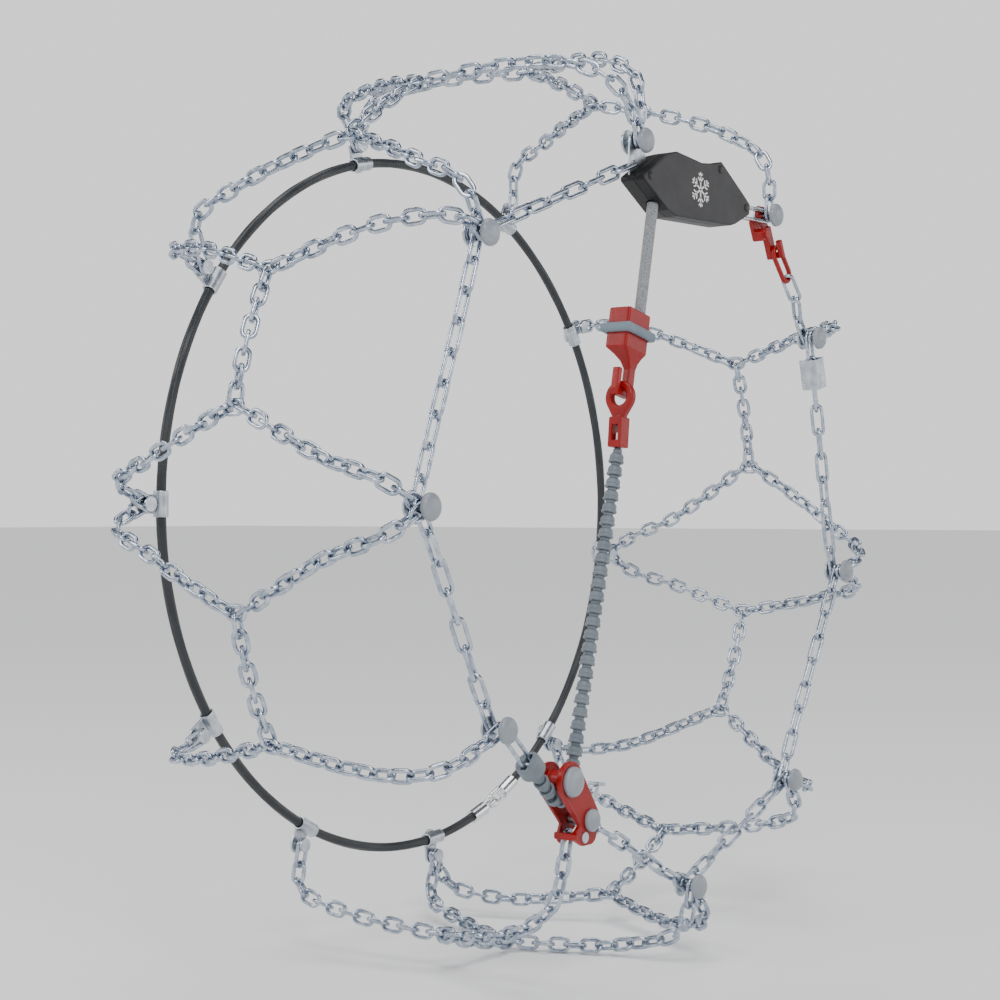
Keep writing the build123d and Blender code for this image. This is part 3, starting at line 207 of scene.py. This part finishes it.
def link_mesh(centre, axes, extents, power, weld):
    """One bent and welded wire link; weld is the side of its weld, +1 or -1."""
    wire = extents[2]
    points, ways = stadium(extents[0] - wire, extents[1] - wire, POINTS_PER_BEND, POINTS_PER_SIDE)
    long_axis, wide_axis, flat_axis = axes
    profile = section(wire / 2, power, LINK_AROUND)
    verts = []
    reach = (extents[0] - extents[1]) / 2
    for point, way in zip(points, ways):
        swell = 1.0
        if point[1] * weld > extents[1] / 4 and reach > 0.5:
            swell += WELD_SWELL * np.exp(-(point[0] / WELD_REACH) ** 2)
        origin = centre + long_axis * point[0] + wide_axis * point[1]
        side = long_axis * way[0] + wide_axis * way[1]
        verts.append(origin + swell * (profile[:, :1] * side + profile[:, 1:] * flat_axis))
    return np.concatenate(verts), ring_faces(len(points), LINK_AROUND, True)


def links(node, material, power):
    """Detailed links in the places of a node's solids."""
    verts, faces, count = [], [], 0
    for number, island in enumerate(islands(nodes[node])):
        centre, axes, extents = axes_of(island)
        if np.dot(np.cross(axes[0], axes[1]), axes[2]) < 0:
            axes = axes * np.array([[1], [1], [-1]])
        v, f = link_mesh(centre, axes, extents, power, 1 if number % 2 else -1)
        verts.append(v)
        faces += [tuple(index + count for index in face) for face in f]
        count += len(v)
    obj = new_object("vis_" + node, np.concatenate(verts), faces, material)
    finish_piece(obj, node)
    return obj


def lathe(profile, origin, direction, around=48, squareness=None):
    """Profile of (radius, height) turned about a direction; ends at radius 0 are closed."""
    direction = unit(direction)
    helper = np.array([0.0, 1, 0]) if abs(direction[1]) < 0.9 else np.array([1.0, 0, 0])
    u = unit(np.cross(helper, direction))
    v = np.cross(direction, u)
    turn = np.linspace(0, 2 * pi, around, endpoint=False)
    ring = np.cos(turn)[:, None] * u + np.sin(turn)[:, None] * v
    shape = np.ones(around)
    if squareness:
        shape = 1 - squareness * (0.5 - 0.5 * np.cos(4 * turn)) ** 3
    verts = [np.asarray(origin) + ring * radius * shape[:, None] + direction * height
             for radius, height in profile]
    return np.concatenate(verts), capped_faces(len(profile), around)


def rounded(points, radius, steps=4):
    """Open (radius, height) profile with its inner corners rounded."""
    points = [np.array(p, float) for p in points]
    out = [points[0]]
    for before, here, after in zip(points, points[1:], points[2:]):
        a, b = before - here, after - here
        cut = min(radius, np.linalg.norm(a) * 0.45, np.linalg.norm(b) * 0.45)
        start, end = here + unit(a) * cut, here + unit(b) * cut
        for t in np.linspace(0, 1, steps + 1):
            out.append((1 - t) ** 2 * start + 2 * t * (1 - t) * here + t * t * end)
    out.append(points[-1])
    return out


def joined(name, pieces, material):
    """One object from several (vertices, faces) pieces."""
    verts, faces, count = [], [], 0
    for v, f in pieces:
        verts.append(v)
        faces += [tuple(index + count for index in face) for face in f]
        count += len(v)
    return new_object(name, np.concatenate(verts), faces, material)


def finish_piece(obj, *replaced):
    """Rides the piece on the body of the nodes it stands for and hides those nodes."""
    body = next(b for b, members in frame["record"]["behaviour"]["bodies"].items()
                if replaced[0] in members)
    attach(obj, body)
    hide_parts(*replaced)


# ---------------------------------------------------------------- materials
def material(name, color, metallic, roughness, coat=0.0):
    mat = bpy.data.materials.new(name)
    mat.use_nodes = True
    shader = mat.node_tree.nodes["Principled BSDF"]
    shader.inputs["Base Color"].default_value = (*color, 1)
    shader.inputs["Metallic"].default_value = metallic
    shader.inputs["Roughness"].default_value = roughness
    shader.inputs["Coat Weight"].default_value = coat
    return mat, mat.node_tree, shader


def noise(tree, scale, detail=4.0, rough=0.55):
    """Noise value in the object's own coordinates."""
    place = tree.nodes.new("ShaderNodeTexCoord")
    node = tree.nodes.new("ShaderNodeTexNoise")
    node.inputs["Scale"].default_value = scale
    node.inputs["Detail"].default_value = detail
    node.inputs["Roughness"].default_value = rough
    tree.links.new(place.outputs["Object"], node.inputs["Vector"])
    return node.outputs["Fac"]


def ramp(tree, value, stops):
    """Colour from a value through (position, colour) stops."""
    node = tree.nodes.new("ShaderNodeValToRGB")
    elements = node.color_ramp.elements
    while len(elements) < len(stops):
        elements.new(0.5)
    for element, (position, color) in zip(elements, stops):
        element.position = position
        element.color = (*color, 1)
    tree.links.new(value, node.inputs["Fac"])
    return node.outputs["Color"]


def spread(tree, value, low, high):
    """Value from 0 to 1 spread over a range."""
    node = tree.nodes.new("ShaderNodeMapRange")
    node.inputs["To Min"].default_value = low
    node.inputs["To Max"].default_value = high
    tree.links.new(value, node.inputs["Value"])
    return node.outputs["Result"]


def bumps(tree, shader, layers):
    """Stacked bump layers of (height socket, distance, strength)."""
    normal = None
    for height, distance, strength in layers:
        node = tree.nodes.new("ShaderNodeBump")
        node.inputs["Distance"].default_value = distance
        node.inputs["Strength"].default_value = strength
        tree.links.new(height, node.inputs["Height"])
        if normal is not None:
            tree.links.new(normal, node.inputs["Normal"])
        normal = node.outputs["Normal"]
    tree.links.new(normal, shader.inputs["Normal"])


def zinc(name, dark, light, rough_low, rough_high):
    """Plated steel: cloudy passivation, fine grain and small dings."""
    mat, tree, shader = material(name, light, 1.0, 0.3)
    cloud = noise(tree, 160, 5)
    tree.links.new(ramp(tree, cloud, [(0.3, dark), (0.7, light)]), shader.inputs["Base Color"])
    grain = noise(tree, 900, 6, 0.7)
    tree.links.new(spread(tree, grain, rough_low, rough_high), shader.inputs["Roughness"])
    bumps(tree, shader, [(cloud, 0.0006, 0.25), (grain, 0.0001, 0.35)])
    return mat


def enamel(name, dark, light, roughness=0.32, coat=0.35, orange_peel=0.25):
    """Thick gloss coat over a casting."""
    mat, tree, shader = material(name, light, 0.0, roughness, coat)
    shader.inputs["Coat Roughness"].default_value = 0.18
    shader.inputs["Specular IOR Level"].default_value = 0.3
    cloud = noise(tree, 70, 3)
    tree.links.new(ramp(tree, cloud, [(0.25, dark), (0.75, light)]), shader.inputs["Base Color"])
    grain = noise(tree, 500, 4)
    fine = noise(tree, 1800, 3)
    tree.links.new(spread(tree, fine, roughness - 0.06, roughness + 0.08),
                   shader.inputs["Roughness"])
    bumps(tree, shader, [(grain, 0.0002, orange_peel), (fine, 0.00005, 0.3)])
    return mat


def moulded(name, dark, light, roughness, grain_size=1400, grain=0.35, coat=0.0):
    """Moulded plastic with an eroded grain."""
    mat, tree, shader = material(name, light, 0.0, roughness, coat)
    shader.inputs["Specular IOR Level"].default_value = 0.35
    cloud = noise(tree, 45, 4)
    tree.links.new(ramp(tree, cloud, [(0.3, dark), (0.7, light)]), shader.inputs["Base Color"])
    fine = noise(tree, grain_size, 5, 0.6)
    tree.links.new(spread(tree, fine, roughness - 0.08, roughness + 0.1),
                   shader.inputs["Roughness"])
    bumps(tree, shader, [(cloud, 0.0006, 0.15), (fine, 0.00012, grain)])
    return mat


CHAIN = zinc("chain_zinc", (0.25, 0.30, 0.38), (0.58, 0.63, 0.71), 0.18, 0.34)
SHEET = zinc("sheet_zinc", (0.36, 0.40, 0.45), (0.66, 0.69, 0.73), 0.24, 0.42)
BRIGHT = zinc("bright_wire", (0.66, 0.68, 0.70), (0.86, 0.87, 0.88), 0.12, 0.26)
ROPE = zinc("rope_steel", (0.34, 0.36, 0.38), (0.60, 0.62, 0.64), 0.30, 0.46)
RED = enamel("red_enamel", (0.22, 0.0015, 0.001), (0.30, 0.003, 0.002), 0.36, 0.12)
PEARL = moulded("pearl_caps", (0.21, 0.235, 0.265), (0.28, 0.305, 0.335), 0.34, 1800, 0.2, 0.2)
GREY = moulded("grey_plastic", (0.125, 0.15, 0.175), (0.18, 0.21, 0.24), 0.42, 1500, 0.3)
BLACK = moulded("black_plastic", (0.004, 0.004, 0.0045), (0.009, 0.009, 0.01), 0.42, 1400, 0.35)
RUBBER = moulded("ring_rubber", (0.12, 0.17, 0.205), (0.17, 0.22, 0.26), 0.5, 1700, 0.3)
COAT = moulded("cable_coat", (0.02, 0.023, 0.026), (0.035, 0.038, 0.042), 0.40, 1200, 0.2)
PRINT = moulded("white_print", (0.74, 0.74, 0.74), (0.82, 0.82, 0.82), 0.5, 900, 0.2)


LIT_FACE_BAND = (0.15, 0.55)         # depth behind the outer face where its painted light ends


def housing_material_painted_light():
    """Grained black moulding with painted light: its outer face is painted lighter as if lit, its
    sides and back painted darker as shade.
    """
    mat, tree, shader = material("housing_shell_painted_light", (0.07, 0.07, 0.075), 0.0, 0.45)
    place = tree.nodes.new("ShaderNodeTexCoord")
    parts = tree.nodes.new("ShaderNodeSeparateXYZ")
    tree.links.new(place.outputs["Object"], parts.inputs["Vector"])
    # mask of the outer face: 1 on the face, which gets the painted light, 0 on the sides and back,
    # which get the painted shade
    face = tree.nodes.new("ShaderNodeMapRange")
    face.inputs["From Min"].default_value = (HOUSING_FACE_Y + LIT_FACE_BAND[0]) * MM
    face.inputs["From Max"].default_value = (HOUSING_FACE_Y + LIT_FACE_BAND[1]) * MM
    face.inputs["To Min"].default_value = 1.0
    face.inputs["To Max"].default_value = 0.0
    tree.links.new(parts.outputs["Y"], face.inputs["Value"])
    cloud = noise(tree, 60, 4)
    fine = noise(tree, 1300, 5, 0.6)
    painted_light_mix = tree.nodes.new("ShaderNodeMix")
    painted_light_mix.data_type = "RGBA"
    tree.links.new(face.outputs["Result"], painted_light_mix.inputs["Factor"])
    # painted shade: sides and back darker than the black plastic
    tree.links.new(ramp(tree, cloud, [(0.3, (0.003, 0.003, 0.0035)), (0.7, (0.006, 0.006, 0.007))]),
                   painted_light_mix.inputs["A"])
    # painted light: the outer face lighter than the black plastic
    tree.links.new(ramp(tree, cloud, [(0.3, (0.020, 0.020, 0.022)), (0.7, (0.032, 0.032, 0.034))]),
                   painted_light_mix.inputs["B"])
    tree.links.new(painted_light_mix.outputs["Result"], shader.inputs["Base Color"])
    shader.inputs["Specular IOR Level"].default_value = 0.3
    tree.links.new(spread(tree, fine, 0.38, 0.58), shader.inputs["Roughness"])
    bumps(tree, shader, [(cloud, 0.0006, 0.1), (fine, 0.00012, 0.5)])
    return mat


def braid_material():
    """Woven sheath: grey yarn with darker flecks."""
    mat, tree, shader = material("cord_braid", (0.5, 0.5, 0.5), 0.0, 0.75)
    shader.inputs["Sheen Weight"].default_value = 0.25
    fleck = noise(tree, 1100, 3, 0.7)
    color = ramp(tree, fleck, [(0.34, (0.10, 0.11, 0.12)), (0.52, (0.25, 0.265, 0.28)),
                               (0.75, (0.38, 0.395, 0.41))])
    tree.links.new(color, shader.inputs["Base Color"])
    fibre = noise(tree, 2600, 4, 0.7)
    bumps(tree, shader, [(fleck, 0.0003, 0.3), (fibre, 0.00015, 0.5)])
    return mat


BRAID = braid_material()
HOUSING_PAINTED_LIGHT = housing_material_painted_light()

# ---------------------------------------------------------------- chains
SQUARE_WIRE = 2.9
ROUND_WIRE = 2.35
TREAD_NODES = [name for name in nodes if name.startswith("tread_unit_")] + ["crown_chains"]
SIDE_NODES = [name for name in nodes if name.startswith("side_chain_")]
for name in TREAD_NODES:
    links(name, CHAIN, SQUARE_WIRE)
for name in SIDE_NODES:
    links(name, CHAIN, ROUND_WIRE)
links("tail_link", CHAIN, ROUND_WIRE)
links("wire_link", BRIGHT, ROUND_WIRE)
links("closure_link", RED, SQUARE_WIRE)

# ---------------------------------------------------------------- caps and rivets
def low_high(island):
    co, tris = island
    points = co[np.unique(tris)]
    return points.min(0), points.max(0)


def dome_profile(radius, rim, height):
    """From the flat back over a rounded rim to the top."""
    points = [(0.001, 0), (radius - 0.5, 0), (radius - 0.1, 0.25), (radius, 0.7), (radius, rim)]
    for turn in np.linspace(0.08, pi / 2, 14):
        points.append((max(radius * cos(turn) ** 0.92, 0.001), rim + (height - rim) * sin(turn)))
    return points


def caps(node, rim):
    pieces = []
    for island in islands(nodes[node]):
        low, high = low_high(island)
        middle = (low + high) / 2
        radius = (high[0] - low[0]) / 2
        origin = (middle[0], high[1], middle[2])
        pieces.append(lathe(dome_profile(radius, rim, high[1] - low[1]), origin, (0, -1, 0), 64))
    obj = joined("vis_" + node, pieces, PEARL)
    finish_piece(obj, node)


caps("rivet_caps", 1.6)
caps("lock_caps", 1.8)

pieces = []
for island in islands(nodes["rivets"]):
    low, high = low_high(island)
    middle = (low + high) / 2
    depth = high[1] - low[1]
    outline = [(0.001, 0), (8.0, 0), (8.5, 0.5), (8.5, 1.5), (8.0, 2.0), (3.2, 2.0), (2.3, 2.8),
               (2.3, depth - 1), (2.0, depth), (0.001, depth)]
    pieces.append(lathe(rounded(outline, 0.25, 3), (middle[0], high[1], middle[2]), (0, -1, 0), 48))
finish_piece(joined("vis_rivets", pieces, SHEET), "rivets")


# ---------------------------------------------------------------- bead line
def bead_piece(centre, way, has_ball=True):
    """Moulded bead: ball nose, shoulder, waist and thicker lip round a cup."""
    neck = [(1.5, -3.5), (2.2, -3.5)]
    if has_ball:
        neck = [(1.5, -7.3)]
        for turn in np.radians(np.linspace(-66, 36, 12)):
            neck.append((3.3 * cos(turn), -4.35 + 3.3 * sin(turn)))
    body = [(3.5, -3.0), (4.3, -2.3), (4.85, -1.2), (4.95, 0.5), (4.75, 1.0), (4.8, 1.5),
            (5.4, 1.85), (5.4, 3.2), (5.15, 3.5), (3.75, 3.5), (3.3, 2.6), (2.4, 1.5), (1.5, 1.0)]
    return lathe(rounded(neck + body, 0.28, 3), centre, way, 40, 0.035)


down = np.array([-sin(LINE_TILT), 0, -cos(LINE_TILT)])
right = np.array([cos(LINE_TILT), 0, -sin(LINE_TILT)])
tail = np.array([cos(TAIL_HEADING), 0, sin(TAIL_HEADING)])
tail_side = np.array([-sin(TAIL_HEADING), 0, cos(TAIL_HEADING)])
line_end = PULLEY + right * PULLEY_PITCH
straight = [bead_piece(line_end - down * BEAD_PITCH * (index + 0.5), down, index > 0)
            for index in range(STRAIGHT_BEADS)]
wrapped = [straight[0]]
wrap_end = atan2(tail_side[2], tail_side[0])
for index in range(WRAPPED_BEADS):
    turn = -LINE_TILT - (index + 0.5) * BEAD_PITCH / PULLEY_PITCH
    spot = PULLEY + np.array([cos(turn), 0, sin(turn)]) * PULLEY_PITCH
    wrapped.append(bead_piece(spot, (sin(turn), 0, -cos(turn)), False))
first = (WRAPPED_BEADS + 0.5) * BEAD_PITCH - (-LINE_TILT - wrap_end) * PULLEY_PITCH
tail_start = PULLEY + tail_side * PULLEY_PITCH
tails = [bead_piece(tail_start + tail * (first + index * BEAD_PITCH), tail, index > 0)
         for index in range(TAIL_BEADS)]
finish_piece(joined("vis_tension_beads", straight[1:], GREY), "tension_beads")
finish_piece(joined("vis_wrapped_beads", wrapped, GREY), "wrapped_beads")
finish_piece(joined("vis_tail_beads", tails, GREY), "tail_beads")

# ---------------------------------------------------------------- elastic cord
def braided(start, end, radius, strands=16, lay=9.0):
    """Sheath of interlaced yarns."""
    start, end = np.asarray(start, float), np.asarray(end, float)
    length = np.linalg.norm(end - start)
    way = unit(end - start)
    side = unit(np.cross((0, 1, 0), way))
    front = np.cross(way, side)
    around = 6 * strands
    stations = int(length / 0.35) + 2
    turn = np.linspace(0, 2 * pi, around, endpoint=False)
    verts = []
    for t in np.linspace(0, length, stations):
        one = np.cos(strands / 2 * (turn + 2 * pi * t / lay / 4))
        two = np.cos(strands / 2 * (turn - 2 * pi * t / lay / 4))
        height = np.maximum(np.abs(one), np.abs(two))
        size = radius * (0.94 + 0.06 * height)
        verts.append(start + way * t + size[:, None] * (
            np.cos(turn)[:, None] * side + np.sin(turn)[:, None] * front))
    return np.concatenate(verts), capped_faces(stations, around)


hook_down = np.array([-sin(HOOK_TILT), 0, -cos(HOOK_TILT)])
cord_top = CORD_EXIT - hook_down * CORD_IN_MOUTH
cord_low = CORD_EXIT + hook_down * (CORD_VISIBLE + CORD_IN_HOOK)
cord = joined("vis_cord_outside", [braided(cord_top, cord_low, CORD_RADIUS)], BRAID)
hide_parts("cord_outside")
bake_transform(cord)


# ---------------------------------------------------------------- wire rope
def rope_piece(points, radius, lay, strands=6):
    """Stranded rope along a polyline."""
    points = np.asarray(points, float)
    steps = np.linalg.norm(np.diff(points, axis=0), axis=1)
    along = np.concatenate([[0], np.cumsum(steps)])
    even = np.linspace(0, along[-1], max(int(along[-1] / 0.8), 3))
    path = np.stack([np.interp(even, along, points[:, k]) for k in range(3)], 1)
    around = 5 * strands
    turn = np.linspace(0, 2 * pi, around, endpoint=False)
    side_way = np.array([0.0, 1, 0])
    verts = []
    for index, point in enumerate(path):
        ahead = path[min(index + 1, len(path) - 1)] - path[max(index - 1, 0)]
        way = unit(ahead)
        other = unit(np.cross(way, side_way))
        size = radius * (0.9 + 0.1 * np.abs(np.cos(strands / 2 * turn + pi * even[index] / lay)))
        verts.append(point + size[:, None] * (np.cos(turn)[:, None] * side_way
                                              + np.sin(turn)[:, None] * other))
    return np.concatenate(verts), capped_faces(len(path), around)


RING_LAY = 60.0
RING_POINTS = 500
ring_turn = np.radians(np.linspace(RING_START, RING_START + RING_ARC, RING_POINTS))
ring_path = np.stack([RING_RADIUS * np.cos(ring_turn), 0 * ring_turn + RING_Y,
                      RING_RADIUS * np.sin(ring_turn)], 1)
inner_cable = joined("vis_inner_cable", [rope_piece(ring_path, RING_WIRE_RADIUS, RING_LAY)], COAT)
finish_piece(inner_cable, "inner_cable")


# ---------------------------------------------------------------- forged and moulded parts
def paint(node, mat):
    """Gives a CAD node its material."""
    nodes[node].data.materials.clear()
    nodes[node].data.materials.append(mat)


def soften(node, mat, voxel, rounds):
    """Rounds the sharp edges of a CAD node by remeshing and smoothing it."""
    paint(node, mat)
    remesh = nodes[node].modifiers.new("remesh", "REMESH")
    remesh.mode = "VOXEL"
    remesh.voxel_size = voxel * MM
    remesh.use_smooth_shade = True
    smooth = nodes[node].modifiers.new("smooth", "SMOOTH")
    smooth.factor = 0.5
    smooth.iterations = rounds


for name in ("tension_cable", "wrapped_cable", "tail_cable"):
    paint(name, ROPE)

for name, mat, voxel, rounds in (
        ("tension_hook", RED, 0.36, 16), ("eye_coupler", RED, 0.32, 6),
        ("closure_hook", RED, 0.32, 6), ("closure_keeper", RED, 0.32, 6),
        ("lock_front_plate", RED, 0.34, 4), ("lock_back_plate", RED, 0.34, 3),
        ("lock_pulley", RED, 0.30, 3), ("storage_ring", RUBBER, 0.42, 14),
        ("release_pawl", SHEET, 0.30, 3), ("pawl_pad", SHEET, 0.24, 4),
        ("tail_end_cap", GREY, 0.30, 5), ("link_plate", SHEET, 0.25, 3),
        ("housing_front", HOUSING_PAINTED_LIGHT, 0.42, 4), ("housing_back", BLACK, 0.42, 4),
        ("left_cord_roller", BLACK, 0.40, 3), ("right_cord_roller", BLACK, 0.40, 3),
        ("cord_end_stop", BLACK, 0.40, 4), ("inner_clips", SHEET, 0.40, 3),
        ("shortening_clip", SHEET, 0.26, 3)):
    soften(name, mat, voxel, rounds)

SHARP_EDGE = radians(35)
for name, mat in (("cord_inside", BRAID), ("inner_clip_rivets", SHEET), ("lock_rivets", SHEET),
                  ("housing_pins", BLACK), ("tail_pin", SHEET), ("pawl_spring", SHEET),
                  ("inner_cable_eye", BRIGHT), ("inner_cable_hook", BRIGHT),
                  ("cable_knob", BRIGHT)):
    paint(name, mat)
    obj = nodes[name]
    obj.data.polygons.foreach_set("use_smooth", [True] * len(obj.data.polygons))
    edge = obj.modifiers.new("edge", "EDGE_SPLIT")
    edge.split_angle = SHARP_EDGE

# ---------------------------------------------------------------- snow mark on the housing
def bar(start, end, width, back, front):
    """Flat printed stroke between two (x, z) points."""
    start, end = np.asarray(start, float), np.asarray(end, float)
    side = unit(np.array([-(end - start)[1], (end - start)[0]])) * width / 2
    corners = [start - side, end - side, end + side, start + side]
    verts = [(x, y, z) for y in (back, front) for x, z in corners]
    faces = [(0, 1, 2, 3), (7, 6, 5, 4), (0, 4, 5, 1), (1, 5, 6, 2), (2, 6, 7, 3), (3, 7, 4, 0)]
    return np.array(verts), faces


MARK = np.array([20.0, 225.0])
MARK_SIZE = 12.5
PRINT_FRONT_Y = HOUSING_FACE_Y - 0.22
ARM_WIDTH = 1.3
TWIG_WIDTH = 1.1
TWIGS = ((0.45, 4.6), (0.75, 3.2))   # place along the arm, and length
TWIG_LEAN = 50
strokes = []
for arm in range(6):
    turn = radians(90 + 60 * arm)
    tip = MARK + MARK_SIZE * np.array([cos(turn), sin(turn)])
    strokes.append(bar(MARK, tip, ARM_WIDTH, HOUSING_FACE_Y, PRINT_FRONT_Y))
    for share, twig in TWIGS:
        root = MARK + (tip - MARK) * share
        for lean in (-TWIG_LEAN, TWIG_LEAN):
            way = radians(90 + 60 * arm + lean)
            end = root + twig * np.array([cos(way), sin(way)])
            strokes.append(bar(root, end, TWIG_WIDTH, HOUSING_FACE_Y, PRINT_FRONT_Y))
mark = joined("snow_mark", strokes, PRINT)
mark.data.polygons.foreach_set("use_smooth", [False] * len(mark.data.polygons))
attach(mark, "chain_net")

# ---------------------------------------------------------------- floor, light and camera
FLOOR_SIZE = 60
FLOOR_GAP = 0.0005
bpy.ops.mesh.primitive_plane_add(size=FLOOR_SIZE, location=(0, 0, cad_low[2] - FLOOR_GAP))
floor = bpy.context.object
floor.name = "floor"
floor.data.materials.append(material("floor_pale", (0.9, 0.9, 0.9), 0.0, 0.8)[0])
floor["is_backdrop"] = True

world = bpy.data.worlds.new("studio")
bpy.context.scene.world = world
world.use_nodes = True
sky = world.node_tree
background = sky.nodes["Background"]
sky_place = sky.nodes.new("ShaderNodeTexCoord")
sky_parts = sky.nodes.new("ShaderNodeSeparateXYZ")
sky.links.new(sky_place.outputs["Generated"], sky_parts.inputs["Vector"])
height = spread(sky, sky_parts.outputs["Z"], 0.0, 1.0)
height.node.inputs["From Min"].default_value = -1.0
shades = [(0.0, (0.4, 0.4, 0.4)), (0.47, (1.0, 1.0, 1.0)), (0.63, (1.0, 1.0, 1.0)),
          (0.72, (0.14, 0.145, 0.155)), (0.9, (0.08, 0.085, 0.095))]
sky.links.new(ramp(sky, height, shades), background.inputs["Color"])
background.inputs["Strength"].default_value = 1.2


def area(name, place, size, power):
    """Square lamp that faces the centre of the chain."""
    light = bpy.data.lights.new(name, "AREA")
    light.energy = power
    light.size = size
    obj = bpy.data.objects.new(name, light)
    obj.location = place
    obj.rotation_euler = (-Vector(place)).to_track_quat("-Z", "Y").to_euler()
    bpy.context.scene.collection.objects.link(obj)


sun = bpy.data.lights.new("top", "SUN")
sun.energy = 2.0
sun.angle = radians(50)
sun_object = bpy.data.objects.new("top", sun)
sun_object.location = (0, 0, 3)
bpy.context.scene.collection.objects.link(sun_object)
area("key", (-1.6, -1.6, 1.7), 0.8, 34)
area("fill", (1.6, -2.0, 0.6), 1.2, 7)
area("rim", (-1.4, 1.4, 1.2), 0.8, 14)

CAMERA = Vector((-1.2094, -0.8805, -0.0045))
BACK_AZIMUTH = radians(-52.98)
BACK_ELEVATION = radians(-0.307)
camera_data = bpy.data.cameras.new("camera")
camera_data.lens = 72.16
camera_data.sensor_width = 36.0
camera_data.clip_end = 100
camera = bpy.data.objects.new("camera", camera_data)
camera.location = CAMERA
back = Vector((sin(BACK_AZIMUTH) * cos(BACK_ELEVATION), -cos(BACK_AZIMUTH) * cos(BACK_ELEVATION),
               sin(BACK_ELEVATION)))
camera.rotation_euler = (-back).to_track_quat("-Z", "Y").to_euler()
bpy.context.scene.collection.objects.link(camera)
bpy.context.scene.camera = camera

low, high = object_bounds()
